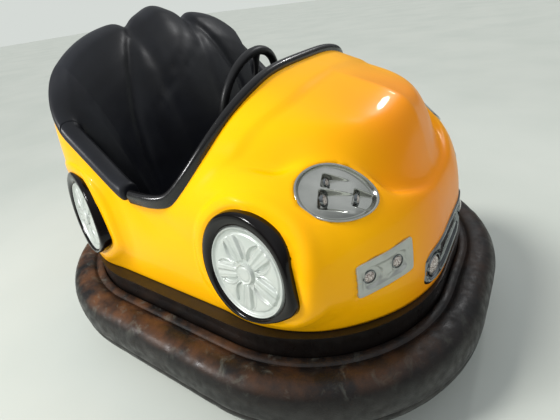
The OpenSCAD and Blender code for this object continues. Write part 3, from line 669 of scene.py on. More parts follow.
@dataclass(frozen=True)
class Patch:
    """A piece that lies on the skin: its frame, its place and the egg or soft box that bounds it."""

    u: float
    t: float
    half_a: float
    half_b: float
    taper: float = 0.0
    turn: float = 0.0
    power: float = 2.0
    slant: float = 0.0
    first_steps: int = 7
    next_steps: int = 4

    @cached_property
    def stand(self) -> Stand:
        """Frame on the skin, without the groove beside the bonnet."""
        return PLAIN.stand(self.u, self.t)

    @cached_property
    def spin(self) -> tuple[float, float]:
        """Cosine and sine of the angle that the outline is turned by."""
        return cos(radians(self.turn)), sin(radians(self.turn))

    def outline(self, g: float) -> tuple[float, float]:
        """Point of the outline in direction g, in radians."""
        c, s = cos(g), sin(g)
        if self.power == 2:
            x, y = self.half_a * c, (self.half_b + self.taper * c) * s
            co, si = self.spin
            return x * co - y * si, x * si + y * co
        x = self.half_a * copysign(abs(c) ** (2 / self.power), c)
        return x, self.half_b * copysign(abs(s) ** (2 / self.power), s) + self.slant * x

    def reach(self, a: float, b: float) -> float:
        """Share of the outline at which a point lies: 0 in the middle, 1 on the edge."""
        co, si = self.spin
        x, y = a * co + b * si, -a * si + b * co - self.slant * a
        x /= self.half_a
        y /= self.half_b + self.taper * x
        return (abs(x) ** self.power + abs(y) ** self.power) ** (1 / self.power)

    def relief(self, height: Callable[[float, float, float], float], rings: int, spokes: int,
               rim: float = 1.04) -> Mesh:
        """Sheet over the patch whose height follows a rule.

        Args:
            height: Rule from two distances in the frame and the share of the outline to a height.
            rings: Rings from the middle out.
            spokes: Points round each ring.
            rim: Share at which the sheet ends.

        Returns:
            The sheet, facing outwards.
        """
        fr = self.stand
        near: dict[int, tuple[float, float]] = {}

        def place(v: float, w: float) -> Vector:
            g, q = 2 * pi * v, rim * w
            a, b = (q * k for k in self.outline(g))
            key = round(v * spokes)
            start = near.get(key, (self.u, self.t))
            u, t = PLAIN.under(fr, a, b, *start, steps=self.next_steps if key in near else self.first_steps)
            near[key] = (u, t)
            return PLAIN.off(u, t, height(a, b, q))

        mesh = sheet(place, spokes, rings)
        face_out(mesh, INSIDE)
        return mesh


def find(origin: Sequence[float], level: Sequence[float], rising: Sequence[float], u: float,
         t: float) -> tuple[float, float]:
    """Place on the skin seen at a point, along the direction square to two axes, from a guess."""
    return PLAIN.under(Stand.of(origin, level, rising), 0, 0, u, t, 9)


HALF = sqrt(0.5)  # either part of a unit length at 45 degrees
POD = Patch(*find((414, 305, 0), (1, 0, 0), (0, 1, 0), 0.84, 0.53), half_a=85, half_b=58, taper=8, turn=26)
FOG = Patch(*find((488, 272, 416), (-HALF, HALF, 0), (0, 0, 1), 0.92, 0.21), half_a=72, half_b=39, power=16,
            slant=-0.085)
STRIP = Patch(*find((586, 0, 337), (0, 1, 0), (0, 0, 1), 0, 0.3), half_a=185, half_b=46, power=6)
TAIL = Patch(*find((-564, 300, 450), (0, 1, 0), (0, 0, 1), 4.1, 0.4), half_a=44, half_b=44)


@dataclass
class MockWheel:
    """A moulded wheel on the body's side: gloss tyre, stepped lip, hub and five spokes.

    A leaf-shaped recess lies on either side of each spoke.
    """

    name: str
    stand: Stand
    at: tuple[float, float]
    tyre_r: float = 138
    rim_r: float = 103
    outline: tuple = ((0, 0.95), (45, 0.985), (90, 0.985), (130, 0.93), (160, 0.87), (180, 0.9), (196, 1.0),
                      (210, 0.9), (232, 0.82), (258, 0.81), (291, 0.9), (322, 0.93), (360, 0.95))

    def tread(self, g: float) -> float:
        """Radius of the tyre's outline in a direction in degrees, with its one corner rounded."""
        return self.tyre_r * sum(table(self.outline, (g + d) % 360) for d in (-7, -3.5, 0, 3.5, 7)) / 5

    def foot(self, a: float, b: float, h: float) -> Vector:
        """Point over the skin below a point of the wheel's plane."""
        return LINES.off(*LINES.under(self.stand, a, b, *self.at), h)

    def tyre(self) -> Mesh:
        """Ring whose wall starts on the skin, rolls over a full shoulder and drops to the rim."""
        profile = ((1.02, -9), (1.0, -5), (0.985, -0.5), (0.955, 3.6), (0.9, 6.4), (0.76, 8.6), (0.5, 9.2),
                   (0.26, 7.6), (0.1, 4.6), (0.03, 2.0), (0.0, -1.5))

        def place(v: float, w: float) -> Vector:
            g = 360 * v
            c, s = cos(radians(g)), sin(radians(g))
            r = self.tread(g)
            i = w * (len(profile) + 1)
            if i < 1.99:
                reach = r + 3 * (1 - i / 2)
                low = self.foot(reach * c, reach * s, -1.5)
                return low.lerp(self.stand.at(r * c * 1.01, r * s * 1.01, -12), i / 2 * 0.9)
            q, h = profile[min(len(profile) - 1, round(i) - 2)]
            reach = self.rim_r + (r - self.rim_r) * q
            return self.stand.at(reach * c, reach * s, h)

        mesh = sheet(place, 140, len(profile) + 1)
        face_out(mesh, self.stand.at(0, 0, -60))
        return mesh

    def rim_height(self, q: float, g: float) -> float:
        """Height of the rim's face at a share of its radius and a direction in degrees."""
        lip = 4.4 * bump(q - 0.965, 0.02) + 1.6 * bump(q - 0.9, 0.012)
        lip -= 2.5 * ease(0.93, 0.915, q) * ease(0.84, 0.87, q)
        hub = 6.5 * ease(0.24, 0.215, q) - 1.8 * bump(q - 0.17, 0.02)
        turn = abs((g + 51) % 72 - 36)
        d = radians(turn) * q * self.rim_r
        out = ease(0.24, 0.3, q) * ease(0.87, 0.83, q)
        half = 11 + 8 * clamp((q - 0.24) / 0.63)
        leaf = 6.6 * sin(pi * clamp((q - 0.3) / 0.52)) ** 0.7
        aside = abs(d - half - leaf - 0.5) - leaf
        slot = -4.0 * ease(0.5, -3.0, aside)
        ridge = 1.7 * bump(aside - 1.5, 1.6) * ease(0.5, 2.5, leaf)
        spoke = 3.6 * ease(half + 0.5, half - 5, d) - 2.4 * bump(d, 4.5) - 1.2 * bump(d - half * 0.62, 2.0)
        return lip + hub + out * (slot + ridge + spoke)

    def rim(self) -> Mesh:
        """Face of the rim from the hub to the lip, tucked in under the tyre."""
        def place(v: float, w: float) -> Vector:
            g, q = 360 * v, min(1.0, w * 1.02)
            r = self.rim_r * q + (0.6 if w > 0.995 else 0)
            h = -6.0 if w > 0.995 else self.rim_height(q, g)
            return self.stand.at(r * cos(radians(g)), r * sin(radians(g)), h)

        mesh = sheet(place, 240, 64)
        face_out(mesh, self.stand.at(0, 0, -60))
        return mesh

    def build(self) -> None:
        """Tyre and rim on both sides."""
        for mesh, name, finish, slot, node in (
                (self.tyre(), "moulded_tyre", BLACK_ENAMEL, "gloss_black", "mock_tyre"),
                (self.rim(), "petal_rim", SILVER_LACQUER, "silver_paint", "mock_rim")):
            pair(mesh, f"{name}_{self.name}", finish, slot, f"{node}_{self.name}", 60)


def find_side(x: float, z: float, u: float, t: float) -> tuple[float, float]:
    """Place on the skin seen from the left side."""
    return find((x, 0, z), (1, 0, 0), (0, 0, 1), u, t)


FRONT_WHEEL = MockWheel("front", wheel_stand(266, 447, 436, 9.5, 6.5), find_side(266, 436, 1.6, 0.38))
REAR_WHEEL = MockWheel("rear", wheel_stand(-331, 431, 430, 7, 16), find_side(-331, 430, 3.25, 0.34))


# -------------------------------------------------------------------------------------------- the body
@dataclass
class Shell:
    """The moulded body in one skin, dented for the lamps and lifted round the mock wheels."""

    around: int = 420
    up: int = 100
    wall: float = 7.0
    mock_lift: float = 15.0
    dents: tuple = ((POD, 34.0), (FOG, 22.0), (STRIP, 20.0), (TAIL, 14.0))

    def relief(self, u: float, t: float) -> float:
        """Height added to the plain skin at a place."""
        plain, p = PLAIN.skin(abs(u), t), LINES.skin(abs(u), t)
        lift = 0.0
        for patch, depth in self.dents:
            a, b, h = patch.stand.local(plain)
            if abs(a) < 1.2 * patch.half_a and abs(b) < 1.4 * patch.half_a and abs(h) < 90:
                lift -= depth * ease(0.975, 0.86, patch.reach(a, b))
        for wheel in (FRONT_WHEEL, REAR_WHEEL):
            a, b, h = wheel.stand.local(p)
            q = hypot(a, b)
            if q < 220 and abs(h) < 120:
                edge = wheel.tread(degrees(atan2(b, a)) % 360)
                lift += min(self.mock_lift, max(0.0, -8 - h)) * ease(edge + 70, edge, q)
                lift += 4 * ease(edge + 34, edge + 24, q) * ease(edge, edge + 9, q) * ease(0.03, 0.12, t)
                if q < edge - 12:
                    lift = min(lift, -h - 20)
        if abs(u) < 2:
            lift += 5.0 * ease(0.885, 0.92, t) * ease(1.4, 0.7, abs(u))
        return lift

    def calm(self, u: float, t: float) -> float:
        """Share of the plain skin, without the groove: all of it at a lamp."""
        p = PLAIN.skin(abs(u), t)
        share = 0.0
        for patch in (POD, FOG, STRIP):
            a, b, h = patch.stand.local(p)
            if abs(a) < 2.1 * patch.half_a and abs(b) < 2.3 * patch.half_b and abs(h) < 110:
                share = max(share, ease(1.75, 1.06, patch.reach(a, b)))
        return share

    def build(self) -> None:
        """Body shell with its wall."""
        def place(v: float, w: float) -> Vector:
            u = -5 + 10 * v
            lift = self.relief(u, w)
            near = self.calm(u, w)
            full = LINES.off(u, w, lift)
            return full.lerp(PLAIN.off(u, w, lift), near) if near > 0 else full

        mesh = sheet(place, self.around, self.up)
        face_out(mesh, INSIDE)
        shell = finish_piece(mesh, "moulded_body", GELCOAT_WITH_PAINTED_SHADE, "chassis", "gelcoat", ["body_shell"], 70)
        # The inner side shows bare ahead of the liner. Its real colour isn't known, and black is a guess that
        # paints the shade inside the wall.
        shell.data.materials.append(BLACK_PLASTIC.make())
        thicken(shell, self.wall).material_offset = 1


@dataclass
class LampSet:
    """Headlamp pods with three scooped lamps, fog lamp plates, the chromed front strip and the tail lamps."""

    drawn_radius: float = 14
    well_depth: float = 6.5
    scoops: tuple = (((-23, 1, 30), (16, -23, 7), 16), ((-25, 26, -10), (27, -10, -29), 22),
                     ((28, -19, -17), (62, -45, -46), 20))

    @cached_property
    def runs(self) -> list[tuple[float, ...]]:
        """Each scoop in the pod's frame: its lamp's place, its tip and its half width."""
        flat = POD.stand.flat
        return [(*flat(lamp), *flat(tip), half) for lamp, tip, half in self.scoops]

    def glass(self, where: Matrix, radius: float, name: str) -> None:
        """Small lamp: chromed ring round a domed glass, on both sides.

        Args:
            where: Place of the lamp, its third axis the way it looks.
            radius: Outer radius of the ring.
            name: Name without its side.
        """
        bezel = ((1.0, -4), (1.0, 1), (0.95, 2.6), (0.86, 2.6), (0.82, 1.2), (0.8, -1.5))
        dome = ((0.81, -1), (0.78, 0.6), (0.66, 2.4), (0.48, 3.8), (0.26, 4.6), (0.0, 4.9))
        # The glass's colour holds painted glints and painted shade
        for profile, part, surface in ((bezel, "bezel", CHROMED), (dome, "glass", GLASS_WITH_PAINTED_GLINTS)):
            mesh = bmesh.new()
            revolve(mesh, [(radius * r, h * radius / self.drawn_radius) for r, h in profile], 32)
            bmesh.ops.remove_doubles(mesh, verts=mesh.verts, dist=0.01)
            face_out(mesh, Vector((0, 0, -30)))
            bmesh.ops.transform(mesh, matrix=where, verts=mesh.verts)
            pair(mesh, f"{name}_{part}", surface, "lamp_silver", sharp=50)

    def groove(self, a: float, b: float) -> float:
        """Depth of the three scoops of a pod at a place: deep at each lamp, running out ahead of it."""
        deep = 0.0
        for la, lb, ta, tb, half in self.runs:
            da, db = ta - la, tb - lb
            n = hypot(da, db)
            k = ((a - la) * da + (b - lb) * db) / n / n
            w = abs(da * (b - lb) - db * (a - la)) / n / half
            if w < 1 and k > -0.12:
                floor = 1 + 20 * (1 - clamp(k * 0.92)) ** 1.1
                deep = max(deep, floor * ease(1.0, 0.66, w) * ease(-0.12, 0.02, k) * ease(1.3, 0.9, k))
        return deep

    def pods(self) -> None:
        """Headlamp pods."""
        def height(a: float, b: float, q: float) -> float:
            rim = 3.6 * ease(0.93, 0.97, q) - 9.0 * ease(1.0, 1.045, q)
            inside = ease(0.955, 0.9, q)
            return rim + inside * (-6 + 3.5 * (1 - q * q) - self.groove(a, b))

        mesh = POD.relief(height, 84, 200, 1.05)
        pair(mesh, "headlamp_pod", METALLISED, "lamp_silver", "headlamp", 75)
        fr = POD.stand
        for i, (la, lb, ta, tb, half) in enumerate(self.runs):
            u, t = PLAIN.under(fr, la, lb, POD.u, POD.t)
            n = PLAIN.normal(u, t)
            ahead = (fr.at(ta, tb) - fr.at(la, lb)).normalized()
            ahead = (ahead - n * ahead.dot(n)).normalized()
            look = (ahead + 0.75 * n).normalized()
            seat = PLAIN.off(u, t, -9) + ahead * 6
            self.glass(aimed(seat, look), half * 0.6, f"headlamp_{i + 1}")

    def fog_plates(self) -> None:
        """Fog lamp plates with two round recesses, each with a lamp at its rear side."""
        wells = ((38, 27), (-34, 26))

        def height(a: float, b: float, q: float) -> float:
            deep = max(ease(r, r - 6, hypot(a - c, b - FOG.slant * a)) for c, r in wells)
            return 3.0 - 9 * ease(0.99, 1.04, q) - self.well_depth * deep

        pair(FOG.relief(height, 70, 180), "fog_plate", SATIN_PLATE, "lamp_silver", "fog_lamp", 75)
        for i, (c, r) in enumerate(wells):
            u, t = PLAIN.under(FOG.stand, c + 4, FOG.slant * c, FOG.u, FOG.t)
            self.glass(aimed(PLAIN.off(u, t, -4.5), PLAIN.normal(u, t)), 16, f"fog_lamp_{i + 1}")

    def strip(self) -> None:
        """Chromed strip across the nose with a lamp at each end."""
        def height(a: float, b: float, q: float) -> float:
            end = ease(104, 116, abs(a))
            well = ease(38, 33, hypot(abs(a) - 148, b))
            hollow = ease(0.9, 0.6, abs(b) / STRIP.half_b) * (1 - end)
            return 4.0 - 10 * ease(0.99, 1.04, q) - 1.2 * bump(q - 0.92, 0.02) - 9 * hollow - 9 * well

        mesh = STRIP.relief(height, 48, 200)
        finish_piece(mesh, "front_strip_chrome", CHROMED, "chassis", "chrome_strip", ["front_strip"], 75)
        u, t = PLAIN.under(STRIP.stand, 148, 0, STRIP.u, STRIP.t)
        self.glass(aimed(PLAIN.off(u, t, -3), PLAIN.normal(u, t)), 31, "strip_lamp")

    def tail(self) -> None:
        """Red tail lamps in chromed rings."""
        def ring(a: float, b: float, q: float) -> float:
            return 9 * ease(1.02, 0.95, q) - 6 * ease(0.84, 0.8, q) - 6 * ease(1.01, 1.04, q)

        pair(TAIL.relief(ring, 24, 72), "tail_bezel", CHROMED, "red_lens", sharp=60)
        dome = Patch(TAIL.u, TAIL.t, 35, 35).relief(
            lambda a, b, q: 13 * sqrt(max(0.0, 1 - 0.8 * q * q)) - 4, 24, 64, 1.0)
        pair(dome, "tail_glass", RED_GLASS, "red_lens", "tail_lamp", 60)

    def build(self) -> None:
        """All lamps."""
        self.pods()
        self.fog_plates()
        self.strip()
        self.tail()


# -------------------------------------------------------------------------------------------- the ring
@dataclass
class RubberRing:
    """The solid rubber ring: a rolled top, a lip against the band and a scraped, slightly lumpy skin."""

    half_len: float = 592.3
    half_wid: float = 467.3
    radius: float = 392.3
    section: tuple = ((0, 212), (3, 215.5), (16, 217), (22, 214), (25, 211), (28, 214), (34, 219), (46, 221.4),
                      (60, 222), (72, 220.6), (84, 215.4), (94, 206.4), (101, 194.6), (105.6, 180),
                      (107.4, 164), (107.6, 140), (106.4, 124), (103.2, 121.4), (102.6, 118.6), (105.4, 115),
                      (104.6, 102), (100, 90), (92, 80.4), (80, 74.4), (66, 72), (30, 72), (3, 72.5), (0, 75),
                      (0, 110), (0, 165))

    def path(self, v: float) -> tuple[Vector, Vector]:
        """Point of the inner outline and its outward direction at a share of the way round."""
        straight_x, straight_y = self.half_len - self.radius, self.half_wid - self.radius
        arc = pi / 2 * self.radius
        legs = (straight_y, arc, 2 * straight_x, arc, 2 * straight_y, arc, 2 * straight_x, arc, straight_y)
        s, a = v * sum(legs), 0.0
        corners = ((1, 1), (-1, 1), (-1, -1), (1, -1))
        for i, leg in enumerate(legs):
            if s <= leg or i == 8:
                break
            s -= leg
            if i % 2:
                a += pi / 2
        out = Vector((cos(a), sin(a), 0))
        run = Vector((-sin(a), cos(a), 0))
        if i % 2:
            cx, cy = corners[i // 2]
            turn = a + s / self.radius
            out = Vector((cos(turn), sin(turn), 0))
            return Vector((cx * straight_x, cy * straight_y, 0)) + self.radius * out, out
        half = straight_y if i % 4 == 0 else straight_x
        start = s if i == 0 else s - half
        return out * (self.half_len if i % 4 == 0 else self.half_wid) + run * start, out

    def build(self) -> None:
        """The ring with its lumps and nicks."""
        count = len(self.section)

        def place(v: float, w: float) -> Vector:
            base, out = self.path(v % 1.0)
            r, z = self.section[round(w * count) % count]
            p = base + out * r + Vector((0, 0, z))
            worn = ease(20, 60, r)
            lump = noise.noise(p * 0.018) * 1.4 + noise.noise(p * 0.06) * 0.7
            nick = max(0.0, noise.noise(p * 0.11 + Vector((7, 3, 1))) - 0.34) * 7 * ease(120, 160, z)
            gone = abs(lump) + nick
            inwards = out * worn * gone * ease(72, 84, z)
            return p - inwards - Vector((0, 0, worn * gone * ease(180, 212, z)))

        mesh = sheet(place, 420, count)
        face_out(mesh)
        round_off(finish_piece(mesh, "scraped_rubber_ring", RING_RUBBER, "chassis", "bumper_rubber",
                               ["rubber_ring"], 60))


# ---------------------------------------------------------------------------------------- the cockpit
@dataclass(frozen=True)
class Upholstery:
    """Padded back in three lobes, rolled pads over the sides and the seat cushion."""

    over: float = 12
    thick: float = 62
    foot_z: float = 310

    pad: tuple = ((12, -12), (15, -2), (14, 8), (12, 17), (8, 24), (1, 28), (-6, 29), (-15, 29), (-24, 27),
                  (-31, 21), (-35, 14), (-38, -2), (-38, -14), (-38, -26), (-33, -28), (-26, -28), (-21, -26),
                  (-16, -12), (-12.5, 1.2), (-5, 1.8), (1.6, 1.2), (1.6, -12))

    rows: int = 36
    outline: tuple = ((12, -12), (14.5, -4), (14, 4), (12, 9), (8, 13), (3, 15), (-3, 15.5), (-10, 15),
                      (-17, 13.5))
    fullness: tuple = ((0.0, 0.3), (0.03, 0.44), (0.07, 0.64), (0.12, 0.82), (0.2, 0.96), (0.35, 1.06),
                       (0.6, 1.1), (0.9, 1.04), (1.0, 0.8))
    seam_line: tuple = ((300, 262), (560, 252), (600, 245), (660, 238), (717, 218), (745, 207), (797, 184),
                        (850, 150), (884, 113), (1000, 111))
    creases: tuple = (((690, -150), (737, -96), (795, -5), (890, 84)),
                      ((660, -170), (687, -147), (729, -70), (777, 31), (850, 178)),
                      ((590, -215), (717, -195), (778, -180), (850, -150)))

    def back_point(self, u: float, k: float, h: float) -> Vector:
        """Point of the backrest between its foot and its top, at a depth ahead of the rear face."""
        q, p = LINES.opening(u), LINES.plan(abs(u), 200, 222, 372, 110, 120)
        a = LINES.facing(abs(u))
        c, s = cos(a), sin(a)
        top = Vector((q[0] - c * 13, q[1] - s * 13, LINES.rim_height(*q) + self.over))
        w = Vector((*p, self.foot_z)).lerp(top, k)
        return Vector((w.x - c * h, (w.y - s * h) * (1 if u >= 0 else -1), w.z))

    def seam(self, u: float, k: float) -> float:
        """Depth of the sewn channels on the backrest's face."""
        point = self.back_point(u, k, self.thick)
        d = abs(point.y) - table(self.seam_line, point.z)
        deep = (13 * bump(d, 11) + 6 * bump(d, 48)) * ease(0.02, 0.25, k)
        for crease in self.creases:
            if crease[0][0] < point.z < crease[-1][0]:
                edge = min(point.z - crease[0][0], crease[-1][0] - point.z)
                deep += 3.2 * bump(point.y - table(crease, point.z), 9) * ease(0, 30, edge)
        return deep

    @lru_cache(maxsize=400)
    def loop(self, u: float) -> list[Vector]:
        """Closed section of the upholstery at u, from the side pad's form to the backrest's."""
        v = abs(u)
        q = LINES.opening(v)
        a = LINES.facing(v)
        c, s = cos(a), sin(a)
        rim = Vector((q[0], q[1], LINES.rim_height(*q)))
        rows, start = self.rows, len(self.outline)
        line = list(self.pad[:start])
        for i in range(rows):
            at = start - 1 + (i + 1) * 7 / rows
            low = min(int(at), start + 5)
            line.append(tuple(p + (q - p) * (at - low) for p, q in zip(self.pad[low], self.pad[low + 1])))
        roll = [rim + Vector((c * r, s * r, z)) for r, z in line + list(self.pad[start + 7:])]
        lean = ease(3.05, 3.9, v)
        back = [rim + Vector((c * r, s * r, z)) for r, z in self.outline]
        for i in range(rows):
            k = 0.985 * (1 - (i / (rows - 1)) ** 1.15)
            full = self.thick * table(self.fullness, 1 - k)
            back.append(self.back_point(v, k, full - self.seam(u, k)))
        back += [self.back_point(v, 0.0, 0), self.back_point(v, 0.45, 0)]
        back += [rim + Vector((c * r, s * r, z)) for r, z in ((-13, -6), (-5, 1.6), (1.6, 1.2), (1.6, -12))]
        points = [p.lerp(b, lean) for p, b in zip(roll, back)]
        return [Vector((p.x, p.y if u >= 0 else -p.y, p.z)) for p in points]

    def run(self, start: float, end: float, steps: int, round_start: bool) -> Mesh:
        """Upholstery between two places round the opening, with closed ends."""
        count = len(self.pad) + self.rows - 7

        def place(v: float, w: float) -> Vector:
            u = start + (end - start) * v
            u = u - 10 if u > 5 else u
            loop = self.loop(round(u, 6))
            point = loop[round(w * count) % count]
            if round_start:
                middle = sum(loop, Vector()) / count
                point = point.lerp(middle, 0.22 * ease(0.04, 0.0, v))
            return point

        mesh = sheet(place, steps, count)
        close_ends(mesh)
        return mesh

    def build(self) -> None:
        """Back, side pads and cushion."""
        back = finish_piece(self.run(3.12, 6.88, 150, False), "lobed_backrest", VINYL, "chassis", "vinyl",
                            ["seat_back"], 80)
        pads = pair(self.run(2.27, 3.13, 40, True), "rolled_pad", VINYL, "vinyl", "side_pad", 80)
        for piece in (back, *pads):
            round_off(piece)
        self.cushion()

    def cushion(self) -> None:
        """Seat cushion: a stuffed cover that starts as a soft box, smaller than it ends."""
        mesh = bmesh.new()
        bmesh.ops.create_cube(mesh, size=1.0)
        bmesh.ops.scale(mesh, vec=(183, 588, 98), verts=mesh.verts)
        bmesh.ops.translate(mesh, vec=(-57, 0, 359.5), verts=mesh.verts)
        bmesh.ops.bevel(mesh, geom=mesh.edges[:], offset=22, offset_type="OFFSET", segments=5, profile=0.5,
                        affect="EDGES", material=-1)
        piece = finish_piece(mesh, "seat_cushion_cover", VINYL, "chassis", "vinyl", ["seat_cushion"], 60)
        self.swell(piece)
        round_off(piece)

    def swell(self, piece: bpy.types.Object, voxel: float = 6, pressure: float = 4, cap: float = 16,
              seat_z: float = 310.3, frames: int = 20) -> None:
        """Blow a cover up as cloth under pressure, with a limit on how far a point may move.

        Args:
            piece: The cover, a closed form.
            voxel: Size of its cloth's cells, in mm.
            pressure: Pressure inside it.
            cap: Furthest move of a point, in mm.
            seat_z: Height that no point goes below, just over the seat base.
            frames: Frames that the cloth is run for.
        """
        bpy.context.view_layer.objects.active = piece
        even = piece.modifiers.new("even", "REMESH")
        even.mode, even.voxel_size = "VOXEL", voxel * MM
        bpy.ops.object.modifier_apply(modifier=even.name)
        cloth = piece.modifiers.new("stuffing", "CLOTH")
        cloth.settings.use_pressure, cloth.settings.uniform_pressure_force = True, pressure
        cloth.settings.effector_weights.gravity = 0
        for step in range(1, frames + 1):
            bpy.context.scene.frame_set(step)
        blown = piece.evaluated_get(bpy.context.evaluated_depsgraph_get()).data
        moves = [now.co - point.co for now, point in zip(blown.vertices, piece.data.vertices)]
        piece.modifiers.remove(cloth)
        for point, move in zip(piece.data.vertices, moves):
            point.co += move * min(1.0, cap * MM / max(move.length, 1e-9))
            point.co.z = max(point.co.z, seat_z * MM)
        for face in piece.data.polygons:
            face.use_smooth = True
        bpy.context.scene.frame_set(1)


@dataclass
class Cockpit:
    """Rubber edge round the front of the opening and the steering wheel."""

    hand: tuple = (2.0, 0.0, 673.0)
    rake: float = 18.0
    rim_r: float = 128
    rim_t: float = 24
    rim_corners: int = 16

    def edging(self) -> None:
        """Extruded edge: a bulb over the wall with a skirt on each side."""
        section = ((0, 21), (6, 19), (9.6, 14), (10.6, 8), (9.4, 2), (7.6, -6), (6.4, -14), (3.6, -15),
                   (2.2, -10), (1.6, 1.2), (-8, 1.6), (-9, -10), (-10.6, -14), (-13, -12), (-13.6, -4),
                   (-13, 6), (-10, 14), (-6, 19))
        count = len(section)

        def place(v: float, w: float) -> Vector:
            u = 2.24 * (2 * v - 1)
            p, n = LINES.skin(u, 1), LINES.normal(u, 1)
            along = (LINES.skin(u + 0.01, 1) - LINES.skin(u - 0.01, 1)).normalized()
            up = along.cross(Vector((0, 0, 1)).cross(along)).normalized()
            side = up.cross(along).normalized()
            if side.dot(n) < 0:
                side = -side
            r, h = section[round(w * count) % count]
            return p + side * r + up * h

        mesh = sheet(place, 200, count)
        close_ends(mesh)
        round_off(finish_piece(mesh, "rubber_edging", EDGE_RUBBER, "chassis", "edge_rubber",
                               ["cockpit_trim"], 60))

    def wheel(self) -> None:
        """Steering wheel: round rim, three dished spokes and a domed hub."""
        ra = radians(self.rake)
        turn = Matrix.Translation(self.hand) @ Matrix.Rotation(pi / 2 + ra, 4, "Y")
        mesh = bmesh.new()
        t = self.rim_t / 2
        angles = [radians(360 / self.rim_corners * i) for i in range(self.rim_corners)]
        revolve(mesh, [(self.rim_r + t * cos(a), t * sin(a)) for a in angles], 96, closed=True)
        revolve(mesh, ((0, -6), (20, -5), (28, -2), (33, 4), (34, 12), (31, 20), (24, 23.8), (0, 24)), 48)
        for turn_by in (180, 300, 60):
            def spoke(v: float, w: float, by: float = radians(turn_by)) -> Vector:
                r = 26 + (self.rim_r - 30) * w
                wide = 14 - 4 * sin(pi * clamp(w * 1.1)) + 3 * ease(0.8, 1.0, w)
                a = 2 * pi * v
                y = wide * copysign(abs(cos(a)) ** 0.7, cos(a))
                z = 8 + 5 * copysign(abs(sin(a)) ** 0.7, sin(a)) - 6 * ease(0.4, 1.0, w)
                return Vector((r * cos(by) - y * sin(by), r * sin(by) + y * cos(by), z))
            arm = sheet(spoke, 20, 16)
            bmesh.ops.holes_fill(arm, edges=arm.edges, sides=0)
            data = bpy.data.meshes.new("arm")
            arm.to_mesh(data)
            mesh.from_mesh(data)
            bpy.data.meshes.remove(data)
            arm.free()
        bmesh.ops.remove_doubles(mesh, verts=mesh.verts, dist=0.01)
        face_out(mesh)
        bmesh.ops.transform(mesh, matrix=turn, verts=mesh.verts)
        finish_piece(mesh, "moulded_steering_wheel", WHEEL_FOAM, "steering", "black_plastic",
                     ["steering_wheel"], 50)

    def lining(self) -> None:
        """Black sheet on the inner side of the shell's wall, below the edging: painted shade inside the wall.
        """
        def place(v: float, w: float) -> Vector:
            return LINES.off(3.1 * (2 * v - 1), 0.7 + 0.295 * w, -9.5)

        mesh = sheet(place, 200, 14)
        face_out(mesh, INSIDE)
        thicken(finish_piece(mesh, "wall_shade_sheet", BLACK_PLASTIC, "chassis", "black_plastic", [], 60), 2)

    def build(self) -> None:
        """Edging, the black sheet of painted shade inside the wall, and steering wheel."""
        self.edging()
        self.lining()
        self.wheel()


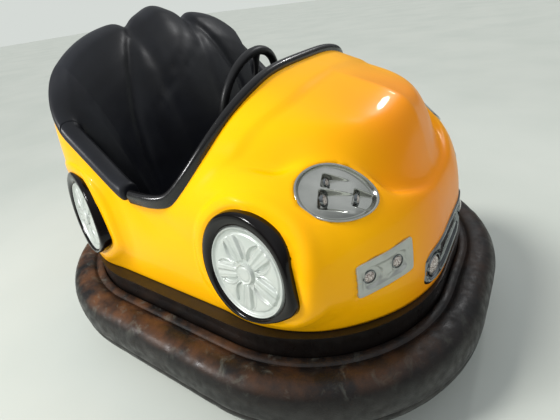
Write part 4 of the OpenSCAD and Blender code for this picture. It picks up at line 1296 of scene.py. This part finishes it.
# ------------------------------------------------------------------------------------------- the studio
@dataclass
class Studio:
    """Plain pale floor, soft light and the camera at the photograph's place."""

    place: tuple = (0.69102, -0.87848, 0.92311)
    azimuth: float = 0.632386
    height: float = 0.527108
    roll: float = -0.138708
    focal_px: float = 370.747
    width_px: int = 560
    sensor_mm: float = 36.0
    floor_half_m: float = 30.0
    floor_tone: str = "#B9BEB8"

    def camera(self) -> None:
        """Camera with the photograph's view."""
        back = Vector((sin(self.azimuth) * cos(self.height), -cos(self.azimuth) * cos(self.height),
                       sin(self.height)))
        right = (-back).cross(Vector((0, 0, 1))).normalized()
        up = right.cross(-back)
        across = right * cos(self.roll) + up * sin(self.roll)
        rise = up * cos(self.roll) - right * sin(self.roll)
        data = bpy.data.cameras.new("photo_view")
        data.sensor_width = self.sensor_mm
        data.lens = self.sensor_mm * self.focal_px / self.width_px
        data.clip_start, data.clip_end = 0.02, 200.0
        view = bpy.data.objects.new("photo_view", data)
        rows = [[axis[i] for axis in (across, rise, back, self.place)] for i in range(3)]
        view.matrix_world = Matrix([*rows, [0, 0, 0, 1]])
        bpy.context.scene.collection.objects.link(view)
        bpy.context.scene.camera = view

    def lamp(self, name: str, kind: str, energy: float, aim: tuple, size: float, place: tuple = (0, 0, 0),
             tone: str = "#FFFFFF") -> None:
        """One light, aimed along a direction.

        Args:
            name: Its name.
            kind: SUN or AREA.
            energy: Strength.
            aim: Direction that it shines in.
            size: Side of an area light, or a sun's angle in degrees.
            place: Where an area light stands.
            tone: Its colour.
        """
        data = bpy.data.lights.new(name, kind)
        data.energy = energy
        data.color = linear(tone)[:3]
        if kind == "SUN":
            data.angle = radians(size)
        else:
            data.size = size
        light = bpy.data.objects.new(name, data)
        light.matrix_world = aimed(place, Vector(aim), "-Z")
        light.visible_glossy = kind == "AREA"
        bpy.context.scene.collection.objects.link(light)

    def floor(self) -> None:
        """Wide pale floor that keeps the shadow."""
        mesh = bmesh.new()
        bmesh.ops.create_grid(mesh, x_segments=2, y_segments=2, size=self.floor_half_m)
        data = bpy.data.meshes.new("studio_floor")
        mesh.to_mesh(data)
        mesh.free()
        floor = bpy.data.objects.new("studio_floor", data)
        bpy.context.scene.collection.objects.link(floor)
        finish = Finish("pale_studio_floor", self.floor_tone, "#B2B8B2", 900, (0.7, 0.8), grain_mm=6)
        data.materials.append(finish.make())

    def air(self) -> None:
        """Light from all round, brighter from above, and a pale backdrop for the camera and glass."""
        world = bpy.data.worlds.new("studio_air")
        world.use_nodes = True
        tree = world.node_tree
        tree.nodes.clear()
        path = add(tree, "LightPath")
        seen = reckon(tree, "MAXIMUM", path.outputs["Is Camera Ray"], path.outputs["Is Transmission Ray"])
        rising = add(tree, "SeparateXYZ", {0: add(tree, "TexCoord").outputs["Generated"]}).outputs[2]
        soft = add(tree, "Background", {0: linear("#F0F4F8"), 1: spread(tree, rising, 0.0, 0.8, 0.12, 0.66)})
        pale = add(tree, "Background", {0: linear("#D5DAD6"), 1: 1.0})
        both = add(tree, "MixShader", {0: seen, 1: soft.outputs[0], 2: pale.outputs[0]})
        add(tree, "OutputWorld", {0: both.outputs[0]})
        bpy.context.scene.world = world

    def build(self) -> None:
        """Camera, floor, air and lamps."""
        self.camera()
        self.floor()
        self.air()
        self.lamp("key", "SUN", 2.7, (0.55, 0.36, -0.78), 16, tone="#FFFCF6")
        self.lamp("fill", "SUN", 0.75, (-0.4, 0.75, -0.5), 40)
        self.lamp("window", "AREA", 22, (0.5, 0.85, -0.5), 0.3, (-1.1, -2.0, 1.3))
        self.lamp("far_window", "AREA", 6, (-0.35, -0.8, -0.75), 0.14, (0.6, 1.6, 1.9))


def dress_kept_nodes() -> None:
    """Give each solid node that stays its own finish."""
    for finish, names in KEPT.items():
        for item in (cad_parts[name] for name in names):
            for holder in item.material_slots:
                holder.material = finish.make()
            for face in item.data.polygons:
                face.use_smooth = False


def main() -> None:
    """Build the car and its studio."""
    logging.basicConfig(level=logging.INFO, format="%(message)s")
    bpy.context.scene.view_settings.view_transform = "Standard"
    Studio().build()
    dress_kept_nodes()
    Shell().build()
    for part in (RubberRing(), LampSet(), FRONT_WHEEL, REAR_WHEEL, Upholstery(), Cockpit()):
        part.build()


if __name__ == "__main__":
    main()
